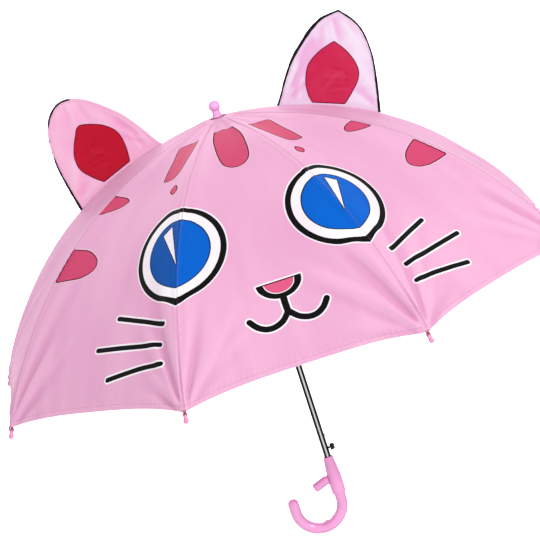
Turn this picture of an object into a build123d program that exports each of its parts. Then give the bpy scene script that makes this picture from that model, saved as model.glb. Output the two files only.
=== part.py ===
from build123d import *
import os
from math import acos, atan2, cos, degrees, hypot, radians, sin

os.makedirs("parts", exist_ok=True)

# Children's stick umbrella with two standing ears, shown open.
# Frame: origin on the shaft axis at the middle of the hand grip, +Z up the shaft towards the ferrule,
# the printed face looks towards -Y, and the hook of the handle points to -X.
# Azimuths are counted from the front (-Y) towards +X.

# ---- driving dimensions, millimetres and degrees ----
RIB_COUNT = 8
FIRST_AZIMUTH = 22.5  # the first rib is half a gore to the right of the front
HALF_GORE = 180.0 / RIB_COUNT
PIVOT_HEIGHT = 475.0  # height of the ring of rib pivots in the crown
PIVOT_RADIUS = 9.0  # radius of the pivot wires of the crown and of the runner
RIB_ARC = 465.0  # rib length along its bend, pivot to end
SLOPE_IN = 5.5  # fall of the rib at the crown
SLOPE_OUT = 64.0  # fall of the rib at its tip
FOLD_ANGLE = 54.0  # how far each rib turns down to the closed umbrella
LINK = 200.0  # crown pivot to stretcher pivot, and also the length of a stretcher

RIB_WIDTH = 2.4
RIB_ABOVE = 1.0  # of the channel section, outside the rib's centre line
RIB_BELOW = 1.4
RIB_WALL = 0.5
RIVET_DEPTH = 0.5  # the stretcher rivet lies this far inside the centre line
RIVET_DIAMETER = 1.2
WIRE_DIAMETER = 1.0
RUNNING_CLEARANCE = 0.08  # radial, at each pivot

SHAFT_DIAMETER = 8.0
SHAFT_WALL = 0.5
SHAFT_BOTTOM = 6.0
SHAFT_TOP = 487.0

CROWN_RADIUS = 11.0
HUB_RADIUS = 6.2
SLOT_WIDTH = 2.0
SLOT_INNER = 6.3
RUNNER_BORE = 8.6
RUNNER_BARREL = 13.0
RUNNER_LENGTH = 33.0  # below the pivots
KEY_BELOW_PIVOT = 12.0

FABRIC = 0.6
FABRIC_OFFSET = 1.8  # inner face of the canopy above the rib's centre line
FABRIC_END = 7.4  # the sewn corner stops this far short of the rib's end
SCALLOP = 10.0  # extra rise of the hem between two ribs
SEAM_GAP = 0.15

HANDLE_TOP = 40.0
HANDLE_TUBE = 13.5
HOOK_RADIUS = 29.0
HOOK_CENTRE = -15.0  # height of the centre of the hook
BUTTON_HEIGHT = 50.5
BUTTON_TRAVEL = 1.8
EAR_THICKNESS = 1.6
PIPING_WIDTH = 2.4
PIPING_THICKNESS = 2.4

# ---- geometry of the folding frame ----
RHO = RIB_ARC / radians(SLOPE_OUT - SLOPE_IN)  # bend radius of a rib
BEND_R = PIVOT_RADIUS - RHO * sin(radians(SLOPE_IN))
BEND_Z = PIVOT_HEIGHT - RHO * cos(radians(SLOPE_IN))


def on_rib(along, outside=0.0):
    """(radius, height) of the point that far along the rib's bend and that far outside its centre line."""
    slope = radians(SLOPE_IN) + along / RHO
    return (
        BEND_R + (RHO + outside) * sin(slope),
        BEND_Z + (RHO + outside) * cos(slope),
    )


rivet_ring = RHO - RIVET_DEPTH
rivet_turn = acos((RHO**2 + rivet_ring**2 - LINK**2) / (2 * RHO * rivet_ring))
RIVET = on_rib(rivet_turn * RHO, -RIVET_DEPTH)  # stretcher pivot on the rib
RUNNER_HEIGHT = 2 * RIVET[1] - PIVOT_HEIGHT  # runner pivots, umbrella open
link_droop = atan2(PIVOT_HEIGHT - RIVET[1], RIVET[0] - PIVOT_RADIUS)
RUNNER_CLOSED = PIVOT_HEIGHT - 2 * LINK * sin(link_droop + radians(FOLD_ANGLE))
KEY_HEIGHT = RUNNER_HEIGHT - KEY_BELOW_PIVOT
KEY_CLOSED = RUNNER_CLOSED - KEY_BELOW_PIVOT
RUNNER = (PIVOT_RADIUS, RUNNER_HEIGHT)


def radial_plane(azimuth):
    """Upright plane through the shaft axis: local x is the radius and local y is height."""
    a = radians(azimuth)
    return Plane(origin=(0, 0, 0), x_dir=(sin(a), -cos(a), 0), z_dir=(-cos(a), -sin(a), 0))


def band(inside, outside, start, end):
    """Face that follows the rib's bend, drawn in the current sketch."""
    middle = (start + end) / 2
    with BuildLine() as outline:
        ThreePointArc(on_rib(start, outside), on_rib(middle, outside), on_rib(end, outside))
        Line(on_rib(end, outside), on_rib(end, inside))
        ThreePointArc(on_rib(end, inside), on_rib(middle, inside), on_rib(start, inside))
        Line(on_rib(start, inside), on_rib(start, outside))
    make_face(outline.edges())


def beside(points, amount):
    """The points moved square to their own line, to its left for a positive amount."""
    moved = []
    for i, (x, y) in enumerate(points):
        a, b = points[max(i - 1, 0)], points[min(i + 1, len(points) - 1)]
        dx, dy = b[0] - a[0], b[1] - a[1]
        d = hypot(dx, dy)
        moved.append((x - dy / d * amount, y + dx / d * amount))
    return moved


def strip(points, thickness):
    """Closed face between a smooth line and its copy moved outwards."""
    other = beside(points, thickness)
    with BuildLine() as outline:
        Spline(*points)
        Line(points[-1], other[-1])
        Spline(*reversed(other))
        Line(other[0], points[0])
    make_face(outline.edges())


azimuths = [FIRST_AZIMUTH + i * 360.0 / RIB_COUNT for i in range(RIB_COUNT)]
BACK = {number + 1: azimuth for number, azimuth in enumerate(azimuths)}

# direction of a stretcher in its radial plane, from the rib rivet to the runner
lean = degrees(atan2(RUNNER[1] - RIVET[1], RUNNER[0] - RIVET[0]))


def along_stretcher(distance):
    return (
        RIVET[0] + distance * cos(radians(lean)),
        RIVET[1] + distance * sin(radians(lean)),
    )


def bar(start, end, height):
    """Rectangle along the stretcher, drawn in the current sketch."""
    with Locations(Location((*along_stretcher((start + end) / 2), 0), (0, 0, lean))):
        Rectangle(end - start, height)


# the canopy's inner line over a rib: a small flat over the crown that runs down onto the rib
def canopy_line(end, squeeze):
    line = [(5.0, PIVOT_HEIGHT + 3.75), (12.5, PIVOT_HEIGHT + 3.45)]
    line += [on_rib(20, FABRIC_OFFSET + 0.7), on_rib(38, FABRIC_OFFSET + 0.1)]
    steps = 8
    line += [on_rib(70 + (end - 70) * i / steps, FABRIC_OFFSET) for i in range(steps + 1)]
    return [(r * squeeze, z) for r, z in line]


for number, azimuth in enumerate(azimuths, 1):
    here = radial_plane(azimuth)

    # rib: a pressed channel, open inwards, with a flat eye on the crown wire
    with BuildPart() as rib:
        with BuildSketch(here):
            band(-RIB_BELOW, RIB_ABOVE, 6.5, RIB_ARC)
        extrude(amount=RIB_WIDTH / 2, both=True)
        with BuildSketch(here):
            band(-RIB_BELOW - 1, RIB_ABOVE - RIB_WALL, 9, RIB_ARC - 8)
        extrude(amount=RIB_WIDTH / 2 - RIB_WALL, both=True, mode=Mode.SUBTRACT)
        with BuildSketch(here):
            band(-1.2, 1.0, 0, 8)
            with Locations((PIVOT_RADIUS, PIVOT_HEIGHT)):
                Circle(2.0)
        extrude(amount=0.75, both=True)
        with BuildSketch(here):
            with Locations((PIVOT_RADIUS, PIVOT_HEIGHT)):
                Circle(WIRE_DIAMETER / 2 + RUNNING_CLEARANCE)
            with Locations(RIVET):
                Circle(RIVET_DIAMETER / 2)
        extrude(amount=RIB_WIDTH, both=True, mode=Mode.SUBTRACT)
    rib.part.label = f"rib_{number}"
    export_step(rib.part, f"parts/rib_{number}.step")

    # rivet that pins the stretcher's fork to the rib
    with BuildPart() as rivet:
        with BuildSketch(here):
            with Locations(RIVET):
                Circle(RIVET_DIAMETER / 2)
        extrude(amount=2.7, both=True)
        for side in (1, -1):
            with BuildSketch(here.offset(2.25 * side)):
                with Locations(RIVET):
                    Circle(1.15)
            extrude(amount=0.45 * side)
    rivet.part.label = f"rib_rivet_{number}"
    export_step(rivet.part, f"parts/rib_rivet_{number}.step")

    # stretcher: forked at the rib, flat eye on the runner wire, pressed channel between
    with BuildPart() as stretcher:
        for side in (1, -1):
            with BuildSketch(here.offset(1.5 * side)):
                with Locations(RIVET):
                    Circle(1.45)
                bar(0, 12, 2.8)
            extrude(amount=0.6 * side)
        with BuildSketch(here):
            bar(9.2, 12, 2.8)
        extrude(amount=2.1, both=True)
        with BuildSketch(here):
            bar(10, LINK - 7, 2.4)
        extrude(amount=1.1, both=True)
        with BuildSketch(here):
            bar(LINK - 12, LINK, 2.4)
            with Locations(RUNNER):
                Circle(1.9)
        extrude(amount=0.75, both=True)
        with BuildSketch(here):
            with Locations(RIVET):
                Circle(RIVET_DIAMETER / 2 + RUNNING_CLEARANCE)
            with Locations(RUNNER):
                Circle(WIRE_DIAMETER / 2 + RUNNING_CLEARANCE)
        extrude(amount=4, both=True, mode=Mode.SUBTRACT)
        # the open side of the channel faces up, away from the user
        with BuildSketch(here):
            with Locations(
                Location(
                    (
                        along_stretcher(LINK / 2)[0] + 0.7 * sin(radians(lean)),
                        along_stretcher(LINK / 2)[1] - 0.7 * cos(radians(lean)),
                        0,
                    ),
                    (0, 0, lean),
                )
            ):
                Rectangle(LINK - 34, 1.6)
        extrude(amount=0.6, both=True, mode=Mode.SUBTRACT)
    stretcher.part.label = f"stretcher_{number}"
    export_step(stretcher.part, f"parts/stretcher_{number}.step")

    # moulded cap on the rib's end, that the canopy's corner is sewn to
    a = radians(azimuth)
    tip_r, tip_z = on_rib(RIB_ARC, (RIB_ABOVE - RIB_BELOW) / 2)
    down = (cos(radians(SLOPE_OUT)), -sin(radians(SLOPE_OUT)))
    tip_plane = Plane(
        origin=(tip_r * sin(a), -tip_r * cos(a), tip_z),
        x_dir=(cos(a), sin(a), 0),
        z_dir=(down[0] * sin(a), -down[0] * cos(a), down[1]),
    )
    with BuildPart() as tip:
        with BuildSketch(tip_plane.offset(-6.5)):
            Circle(2.5)
        extrude(amount=7.5)
        with Locations(tip_plane.offset(1.9)):
            Sphere(3.3)
        with BuildSketch(tip_plane.offset(-7)):
            Rectangle(RIB_WIDTH + 0.06, RIB_ABOVE + RIB_BELOW + 0.1)
        extrude(amount=7.05, mode=Mode.SUBTRACT)
    tip.part.label = f"rib_tip_{number}"
    export_step(tip.part, f"parts/rib_tip_{number}.step")

    # the canopy over this rib, out to the middle of the gore on each side
    middle_line = canopy_line(RIB_ARC - FABRIC_END - SCALLOP, cos(radians(HALF_GORE)))
    with BuildPart() as panel:
        with BuildSketch(radial_plane(azimuth - HALF_GORE).offset(-SEAM_GAP)):
            strip(middle_line, FABRIC)
        with BuildSketch(here):
            strip(canopy_line(RIB_ARC - FABRIC_END, 1.0), FABRIC)
        with BuildSketch(radial_plane(azimuth + HALF_GORE).offset(SEAM_GAP)):
            strip(middle_line, FABRIC)
        loft(ruled=True)
    panel.part.label = f"canopy_panel_{number}"
    export_step(panel.part, f"parts/canopy_panel_{number}.step")

# ---- ears, sewn upright into the seams over ribs 3 and 6 ----
# outline in the rib's own plane, as radius and height above the rib pivots
EAR = [
    (79.0, -10.5),
    (88.0, 1.0),
    (97.0, 14.0),
    (115.0, 36.0),
    (134.0, 51.5),
    (152.0, 63.5),
    (168.0, 70.2),
    (182.0, 71.5),
    (195.5, 68.0),
    (208.0, 57.0),
    (216.0, 43.0),
    (220.0, 25.0),
    (220.5, 4.0),
    (218.0, -17.0),
    (213.5, -40.0),
    (208.0, -64.0),
]
# both ends run on down through the canopy, and are trimmed to it below
EAR = [(73.0, -19.0)] + EAR + [(205.5, -76.0)]
ear_outer = [(r, PIVOT_HEIGHT + z) for r, z in EAR]
ear_inner = beside(ear_outer, -PIPING_WIDTH)
for side, number in (("right", 3), ("left", 6)):
    here = radial_plane(azimuths[number - 1])
    with BuildPart() as ear:
        with BuildSketch(here):
            with BuildLine():
                Spline(*ear_inner)
                Line(ear_inner[-1], ear_inner[0])
            make_face()
        extrude(amount=EAR_THICKNESS / 2, both=True)
        with BuildSketch(here):
            band(-80, 2.65, 20, 300)
        extrude(amount=EAR_THICKNESS, both=True, mode=Mode.SUBTRACT)
    ear.part.label = f"ear_{side}"
    export_step(ear.part, f"parts/ear_{side}.step")

    # bound edge of the ear
    with BuildPart() as piping:
        with BuildSketch(here):
            edge = beside(ear_outer, -PIPING_WIDTH + 0.05)
            with BuildLine():
                Spline(*ear_outer)
                Line(ear_outer[-1], edge[-1])
                Spline(*reversed(edge))
                Line(edge[0], ear_outer[0])
            make_face()
        extrude(amount=PIPING_THICKNESS / 2, both=True)
        with BuildSketch(here):
            band(-80, 2.65, 20, 300)
        extrude(amount=PIPING_THICKNESS, both=True, mode=Mode.SUBTRACT)
    piping.part.label = f"ear_piping_{side}"
    export_step(piping.part, f"parts/ear_piping_{side}.step")

# ---- tie strap, sewn on outside over a back rib ----
STRAP_WIDTH = 16.0
with BuildPart() as tie_strap:
    with BuildSketch(radial_plane(azimuths[3])):
        band(2.7, 3.8, RIB_ARC - 175, RIB_ARC - 30)
    extrude(amount=STRAP_WIDTH / 2, both=True)
tie_strap.part.label = "tie_strap"
export_step(tie_strap.part, "parts/tie_strap.step")

# ---- shaft: chromed steel tube with a slot at the back for the runner's key ----
with BuildPart() as shaft:
    with BuildSketch(Plane.XY.offset(SHAFT_BOTTOM)):
        Circle(SHAFT_DIAMETER / 2)
        Circle(SHAFT_DIAMETER / 2 - SHAFT_WALL, mode=Mode.SUBTRACT)
    extrude(amount=SHAFT_TOP - SHAFT_BOTTOM)
    slot_low, slot_high = KEY_CLOSED - 1.5, KEY_HEIGHT + 1.5
    with BuildSketch(Plane.XZ):
        with Locations((0, (slot_low + slot_high) / 2)):
            SlotOverall(slot_high - slot_low, 2.2, rotation=90)
    extrude(amount=-SHAFT_DIAMETER, mode=Mode.SUBTRACT)
    # cross hole for the crown pin
    with BuildSketch(Plane.XZ):
        with Locations((0, PIVOT_HEIGHT - 11)):
            Circle(1.0)
    extrude(amount=SHAFT_DIAMETER, both=True, mode=Mode.SUBTRACT)
    # hole for the release button's stem and window for the catch, both on the right
    with BuildSketch(Plane.YZ):
        with Locations((0, BUTTON_HEIGHT)):
            Circle(1.55)
        with Locations((0, 68.5)):
            Rectangle(2.6, 8.0)
    extrude(amount=SHAFT_DIAMETER, mode=Mode.SUBTRACT)
shaft.part.label = "shaft"
export_step(shaft.part, "parts/shaft.step")

# ---- crown: slotted disc that the eight ribs hang in ----
with BuildPart() as crown:
    with BuildSketch(Plane.XY.offset(PIVOT_HEIGHT - 3.5)):
        Circle(CROWN_RADIUS)
    extrude(amount=6.0)
    with BuildSketch(Plane.XY.offset(PIVOT_HEIGHT - 15)):
        Circle(HUB_RADIUS)
    extrude(amount=12.0)
    fillet(crown.edges().filter_by(GeomType.CIRCLE).group_by(Axis.Z)[0], radius=0.8)
    with BuildSketch(Plane.XY.offset(PIVOT_HEIGHT - 4)):
        with PolarLocations(0, RIB_COUNT, start_angle=FIRST_AZIMUTH):
            with Locations((SLOT_INNER + 3, 0)):
                Rectangle(6, SLOT_WIDTH)
    extrude(amount=8.0, mode=Mode.SUBTRACT)
    with BuildSketch(Plane.XY.offset(PIVOT_HEIGHT - 0.52)):
        Circle(PIVOT_RADIUS + 0.52)
        Circle(PIVOT_RADIUS - 0.52, mode=Mode.SUBTRACT)
    extrude(amount=4.0, mode=Mode.SUBTRACT)
    with BuildSketch(Plane.XY.offset(PIVOT_HEIGHT - 16)):
        Circle(SHAFT_DIAMETER / 2 + 0.02)
    extrude(amount=20.0, mode=Mode.SUBTRACT)
    with BuildSketch(Plane.XZ):
        with Locations((0, PIVOT_HEIGHT - 11)):
            Circle(1.0)
    extrude(amount=CROWN_RADIUS, both=True, mode=Mode.SUBTRACT)
crown.part.label = "crown"
export_step(crown.part, "parts/crown.step")

with BuildPart() as crown_wire:
    with Locations((0, 0, PIVOT_HEIGHT)):
        Torus(PIVOT_RADIUS, WIRE_DIAMETER / 2)
crown_wire.part.label = "crown_wire"
export_step(crown_wire.part, "parts/crown_wire.step")

with BuildPart() as crown_pin:
    with BuildSketch(Plane.XZ):
        with Locations((0, PIVOT_HEIGHT - 11)):
            Circle(0.98)
    extrude(amount=HUB_RADIUS - 0.05, both=True)
crown_pin.part.label = "crown_pin"
export_step(crown_pin.part, "parts/crown_pin.step")

# round reinforcing patch between the crown and the canopy
with BuildPart() as rosette:
    with BuildSketch(Plane.XY.offset(PIVOT_HEIGHT + 2.55)):
        Circle(12.0)
        Circle(SHAFT_DIAMETER / 2 + 0.05, mode=Mode.SUBTRACT)
    extrude(amount=0.6)
rosette.part.label = "rosette"
export_step(rosette.part, "parts/rosette.step")

# ---- ferrule: ball-ended cap on top of the shaft ----
FERRULE_BASE = PIVOT_HEIGHT + 4.9
BALL_CENTRE = PIVOT_HEIGHT + 18.3
BALL_RADIUS = 7.0
neck_angle = radians(-48)
with BuildPart() as ferrule:
    with BuildSketch(Plane.XZ):
        with BuildLine():
            Polyline(
                (0, FERRULE_BASE),
                (6.6, FERRULE_BASE),
                (6.6, FERRULE_BASE + 1.4),
                (5.2, FERRULE_BASE + 3.0),
                (BALL_RADIUS * cos(neck_angle), BALL_CENTRE + BALL_RADIUS * sin(neck_angle)),
            )
            ThreePointArc(
                (BALL_RADIUS * cos(neck_angle), BALL_CENTRE + BALL_RADIUS * sin(neck_angle)),
                (BALL_RADIUS * cos(radians(20)), BALL_CENTRE + BALL_RADIUS * sin(radians(20))),
                (0, BALL_CENTRE + BALL_RADIUS),
            )
            Line((0, BALL_CENTRE + BALL_RADIUS), (0, FERRULE_BASE))
        make_face()
    revolve(axis=Axis.Z)
    with BuildSketch(Plane.XY.offset(FERRULE_BASE - 1)):
        Circle(SHAFT_DIAMETER / 2 + 0.02)
    extrude(amount=SHAFT_TOP - FERRULE_BASE + 1.2, mode=Mode.SUBTRACT)
ferrule.part.label = "ferrule"
export_step(ferrule.part, "parts/ferrule.step")

# ---- runner: slotted disc on a sleeve that slides on the shaft ----
with BuildPart() as runner:
    with BuildSketch(Plane.XY.offset(RUNNER_HEIGHT - 3)):
        Circle(CROWN_RADIUS)
    extrude(amount=6.0)
    with BuildSketch(Plane.XY.offset(RUNNER_HEIGHT - RUNNER_LENGTH)):
        Circle(RUNNER_BARREL / 2)
    extrude(amount=RUNNER_LENGTH)
    # finger rim at the bottom of the sleeve
    with BuildSketch(Plane.XY.offset(RUNNER_HEIGHT - RUNNER_LENGTH)):
        Circle(8.0)
    extrude(amount=3.0)
    fillet(runner.edges().filter_by(GeomType.CIRCLE).group_by(Axis.Z)[0], radius=1.0)
    with BuildSketch(Plane.XY.offset(RUNNER_HEIGHT - 2.95)):
        with PolarLocations(0, RIB_COUNT, start_angle=FIRST_AZIMUTH):
            with Locations((RUNNER_BARREL / 2 + 3.1, 0)):
                Rectangle(6, SLOT_WIDTH)
    extrude(amount=8.0, mode=Mode.SUBTRACT)
    with BuildSketch(Plane.XY.offset(RUNNER_HEIGHT - 4)):
        with PolarLocations(0, RIB_COUNT, start_angle=FIRST_AZIMUTH):
            with Locations((RUNNER_BARREL / 2 + 3.1, 0)):
                Rectangle(6, SLOT_WIDTH)
    extrude(amount=3.0, mode=Mode.SUBTRACT)
    with BuildSketch(Plane.XY.offset(RUNNER_HEIGHT - 3.5)):
        Circle(PIVOT_RADIUS + 0.52)
        Circle(PIVOT_RADIUS - 0.52, mode=Mode.SUBTRACT)
    extrude(amount=4.02, mode=Mode.SUBTRACT)
    with BuildSketch(Plane.XY.offset(RUNNER_HEIGHT - RUNNER_LENGTH - 1)):
        Circle(RUNNER_BORE / 2)
    extrude(amount=RUNNER_LENGTH + 8, mode=Mode.SUBTRACT)
    # window that the catch springs into when the umbrella is closed
    with BuildSketch(Plane.YZ):
        with Locations((0, RUNNER_HEIGHT - RUNNER_CLOSED + 69.0)):
            Rectangle(4.6, 9.6)
    extrude(amount=RUNNER_BARREL, mode=Mode.SUBTRACT)
    # hole for the key at the back
    with BuildSketch(Plane.XZ):
        with Locations((0, KEY_HEIGHT)):
            Circle(0.8)
    extrude(amount=-RUNNER_BARREL, mode=Mode.SUBTRACT)
runner.part.label = "runner"
export_step(runner.part, "parts/runner.step")

with BuildPart() as runner_wire:
    with Locations((0, 0, RUNNER_HEIGHT)):
        Torus(PIVOT_RADIUS, WIRE_DIAMETER / 2)
runner_wire.part.label = "runner_wire"
export_step(runner_wire.part, "parts/runner_wire.step")

with BuildPart() as runner_key:
    with BuildSketch(Plane.XZ):
        with Locations((0, KEY_HEIGHT)):
            Circle(0.78)
    extrude(amount=-RUNNER_BARREL / 2 + 0.1)
runner_key.part.label = "runner_key"
export_step(runner_key.part, "parts/runner_key.step")

with BuildPart() as spring_plunger:
    with BuildSketch(Plane.XY.offset(KEY_HEIGHT - 6)):
        Circle(3.15)
    extrude(amount=12.0)
    chamfer(spring_plunger.edges().filter_by(GeomType.CIRCLE), length=0.5)
    with BuildSketch(Plane.XZ):
        with Locations((0, KEY_HEIGHT)):
            Circle(0.8)
    extrude(amount=4.0, both=True, mode=Mode.SUBTRACT)
spring_plunger.part.label = "spring_plunger"
export_step(spring_plunger.part, "parts/spring_plunger.step")

# ---- main spring: a close-wound tension spring from the crown pin to the plunger ----
SPRING_LOW, SPRING_HIGH = KEY_HEIGHT + 6.1, PIVOT_HEIGHT - 12.2
SPRING_OUT, SPRING_IN, SPRING_PITCH = 2.8, 2.1, 2.0
turns = int((SPRING_HIGH - SPRING_LOW) / SPRING_PITCH)
wave = [(SPRING_IN, SPRING_LOW)]
for i in range(turns):
    low = SPRING_LOW + i * SPRING_PITCH
    wave += [(SPRING_OUT - 0.3, low), (SPRING_OUT, low + SPRING_PITCH / 2)]
wave += [(SPRING_OUT - 0.3, SPRING_LOW + turns * SPRING_PITCH), (SPRING_IN, SPRING_LOW + turns * SPRING_PITCH)]
with BuildPart() as main_spring:
    with BuildSketch(Plane.XZ):
        with BuildLine():
            Polyline(*wave, close=True)
        make_face()
    revolve(axis=Axis.Z)
main_spring.part.label = "main_spring"
export_step(main_spring.part, "parts/main_spring.step")

# ---- release button with its stem, pressed in towards the shaft ----
with BuildPart() as release_button:
    with BuildSketch(Plane.YZ.offset(6.2)):
        with Locations((0, BUTTON_HEIGHT)):
            Circle(4.1)
    extrude(amount=5.6)
    fillet(release_button.edges().filter_by(GeomType.CIRCLE).group_by(Axis.X)[-1], radius=2.2)
    fillet(release_button.edges().filter_by(GeomType.CIRCLE).group_by(Axis.X)[0], radius=0.5)
    with BuildSketch(Plane.YZ.offset(2.72)):
        with Locations((0, BUTTON_HEIGHT)):
            Circle(1.25)
    extrude(amount=4.0)
release_button.part.label = "release_button"
export_step(release_button.part, "parts/release_button.step")

# leaf inside the tube that carries the button, with the hook that holds the closed runner
with BuildPart() as bottom_catch:
    with BuildSketch(Plane.XZ):
        with BuildLine():
            Polyline(
                (2.2, 46.5),
                (2.7, 46.5),
                (2.7, 65.6),
                (5.6, 65.6),
                (5.6, 66.8),
                (2.7, 71.8),
                (2.2, 71.8),
                close=True,
            )
        make_face()
    extrude(amount=1.0, both=True)
bottom_catch.part.label = "bottom_catch"
export_step(bottom_catch.part, "parts/bottom_catch.step")

# ---- handle: moulded stem that swells in the hand, and a J hook ----
tube = HANDLE_TUBE / 2
WHISTLE_ANGLE = 20.0  # below level
WHISTLE_ROOT = (0.0, 16.3)
WHISTLE_RADIUS = 5.6
whistle_out = (-cos(radians(WHISTLE_ANGLE)), -sin(radians(WHISTLE_ANGLE)))
whistle_plane = Plane(
    origin=(WHISTLE_ROOT[0], 0, WHISTLE_ROOT[1]),
    x_dir=(0, 1, 0),
    z_dir=(whistle_out[0], 0, whistle_out[1]),
)
with BuildPart() as handle:
    with BuildSketch(Plane.XZ):
        with BuildLine():
            Line((0, HANDLE_TOP), (5.4, HANDLE_TOP))
            Spline(
                (5.4, HANDLE_TOP),
                (6.3, HANDLE_TOP - 1.5),
                (6.9, 32.0),
                (8.4, 18.0),
                (8.8, 7.0),
                (7.7, -6.0),
                (tube, HOOK_CENTRE),
                tangents=((1, 0), (0, -1)),
            )
            Line((tube, HOOK_CENTRE), (0, HOOK_CENTRE))
            Line((0, HOOK_CENTRE), (0, HANDLE_TOP))
        make_face()
    revolve(axis=Axis.Z)
    with BuildSketch(Plane.XY.offset(HOOK_CENTRE)):
        Circle(tube)
    revolve(axis=Axis((-HOOK_RADIUS, 0, HOOK_CENTRE), (0, 1, 0)), revolution_arc=180)
    with BuildSketch(Plane.XY.offset(HOOK_CENTRE)):
        with Locations((-2 * HOOK_RADIUS, 0)):
            Circle(tube)
    extrude(amount=11.0)
    with Locations((-2 * HOOK_RADIUS, 0, HOOK_CENTRE + 11.0)):
        Sphere(tube)
    # small finger rest on the inside of the hook
    with Locations((-25.0, 0, HOOK_CENTRE - HOOK_RADIUS + tube - 0.6)):
        Sphere(2.6)
    # socket for the shaft, and the socket that the whistle plugs into
    with BuildSketch(Plane.XY.offset(SHAFT_BOTTOM - 0.1)):
        Circle(SHAFT_DIAMETER / 2 + 0.02)
    extrude(amount=HANDLE_TOP, mode=Mode.SUBTRACT)
    with BuildSketch(whistle_plane.offset(5.6)):
        Circle(4.0)
    extrude(amount=12.0, mode=Mode.SUBTRACT)
handle.part.label = "handle"
export_step(handle.part, "parts/handle.step")

# ---- whistle: plugged into the side of the stem ----
with BuildPart() as whistle:
    with BuildSketch(whistle_plane.offset(9.3)):
        Circle(WHISTLE_RADIUS)
    extrude(amount=20.2)
    fillet(whistle.edges().filter_by(GeomType.CIRCLE).group_by(Axis.X)[0], radius=2.2)
    with BuildSketch(whistle_plane.offset(5.7)):
        Circle(3.95)
    extrude(amount=4.0)
    # wind way from the mouth end, and the sounding slot on the upper side
    with BuildSketch(whistle_plane.offset(14.0)):
        Circle(3.4)
    extrude(amount=20.0, mode=Mode.SUBTRACT)
    with BuildSketch(Plane.XY.offset(5.0)):
        with Locations((-24.0, 0)):
            Rectangle(2.4, 6.4)
    extrude(amount=20.0, mode=Mode.SUBTRACT)
    # the bar that splits the air
    with BuildSketch(whistle_plane.offset(20.0)):
        Rectangle(8.0, 0.9)
    extrude(amount=3.0)
# the stem's own swelling is cut out of the whistle's root, so that it seats on the stem
with BuildPart() as stem_room:
    with BuildSketch(Plane.XY.offset(-20)):
        Circle(8.95)
    extrude(amount=60)
with BuildPart() as whistle_seated:
    add(whistle.part)
    add(stem_room.part, mode=Mode.SUBTRACT)
    with BuildSketch(whistle_plane.offset(5.7)):
        Circle(3.95)
    extrude(amount=4.5)
whistle_seated.part.label = "whistle"
export_step(whistle_seated.part, "parts/whistle.step")

print("rib bend radius", round(RHO, 2), "tip", [round(v, 2) for v in on_rib(RIB_ARC)])
print("rivet", [round(v, 4) for v in RIVET], "runner open", round(RUNNER_HEIGHT, 4), "closed", round(RUNNER_CLOSED, 3))
print("droop", round(degrees(link_droop), 4), "lean", round(lean, 4), "key", round(KEY_HEIGHT, 3), round(KEY_CLOSED, 3))
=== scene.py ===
"""Visual model of the children's umbrella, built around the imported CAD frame. Lengths inside the cloth code are millimetres."""
import math

import bpy
import numpy as np
from mathutils import Matrix, Vector
from mathutils.geometry import delaunay_2d_cdt


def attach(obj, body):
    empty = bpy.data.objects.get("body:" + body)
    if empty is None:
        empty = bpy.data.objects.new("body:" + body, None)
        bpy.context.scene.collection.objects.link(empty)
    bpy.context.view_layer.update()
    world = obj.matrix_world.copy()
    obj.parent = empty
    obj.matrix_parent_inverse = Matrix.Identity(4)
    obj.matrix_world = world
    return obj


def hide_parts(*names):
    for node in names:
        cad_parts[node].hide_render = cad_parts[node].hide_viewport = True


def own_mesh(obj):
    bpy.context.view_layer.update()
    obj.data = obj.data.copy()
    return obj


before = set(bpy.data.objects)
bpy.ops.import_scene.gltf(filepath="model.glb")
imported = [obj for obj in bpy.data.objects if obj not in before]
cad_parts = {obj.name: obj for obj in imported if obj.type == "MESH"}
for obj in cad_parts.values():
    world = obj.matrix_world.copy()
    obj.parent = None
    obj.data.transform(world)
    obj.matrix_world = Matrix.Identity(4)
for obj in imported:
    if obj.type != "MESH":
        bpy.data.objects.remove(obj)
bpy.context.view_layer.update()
MM = 0.001

# ------------------------------------------------------------------ camera, lights, floor
scene = bpy.context.scene


def make_camera():
    azimuth, elevation, roll = math.radians(-1.04), math.radians(11.39), math.radians(17.97)
    target, distance = Vector((0.0031, 0.0, 0.2826)), 4.2
    back = Vector((math.sin(azimuth) * math.cos(elevation), -math.cos(azimuth) * math.cos(elevation), math.sin(elevation)))
    right = (-back).cross(Vector((0, 0, 1))).normalized()
    up = right.cross(-back)
    across = right * math.cos(roll) - up * math.sin(roll)
    above = right * math.sin(roll) + up * math.cos(roll)
    m = Matrix.Identity(4)
    for col, v in enumerate((across, above, back)):
        for row in range(3):
            m[row][col] = v[row]
    place = target + back * distance
    for row in range(3):
        m[row][3] = place[row]
    data = bpy.data.cameras.new("camera")
    data.sensor_width = 36.0
    data.lens = 232.3
    data.clip_start, data.clip_end = 0.1, 100.0
    cam = bpy.data.objects.new("camera", data)
    scene.collection.objects.link(cam)
    cam.matrix_world = m
    scene.camera = cam


make_camera()


def area_light(name, place, aim, size, watts, colour=(1, 1, 1)):
    data = bpy.data.lights.new(name, "AREA")
    data.shape = "DISK"
    data.size = size
    data.energy = watts
    data.color = colour
    o = bpy.data.objects.new(name, data)
    scene.collection.objects.link(o)
    o.location = place
    o.rotation_euler = (Vector(aim) - Vector(place)).to_track_quat("-Z", "Y").to_euler()
    return o


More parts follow.
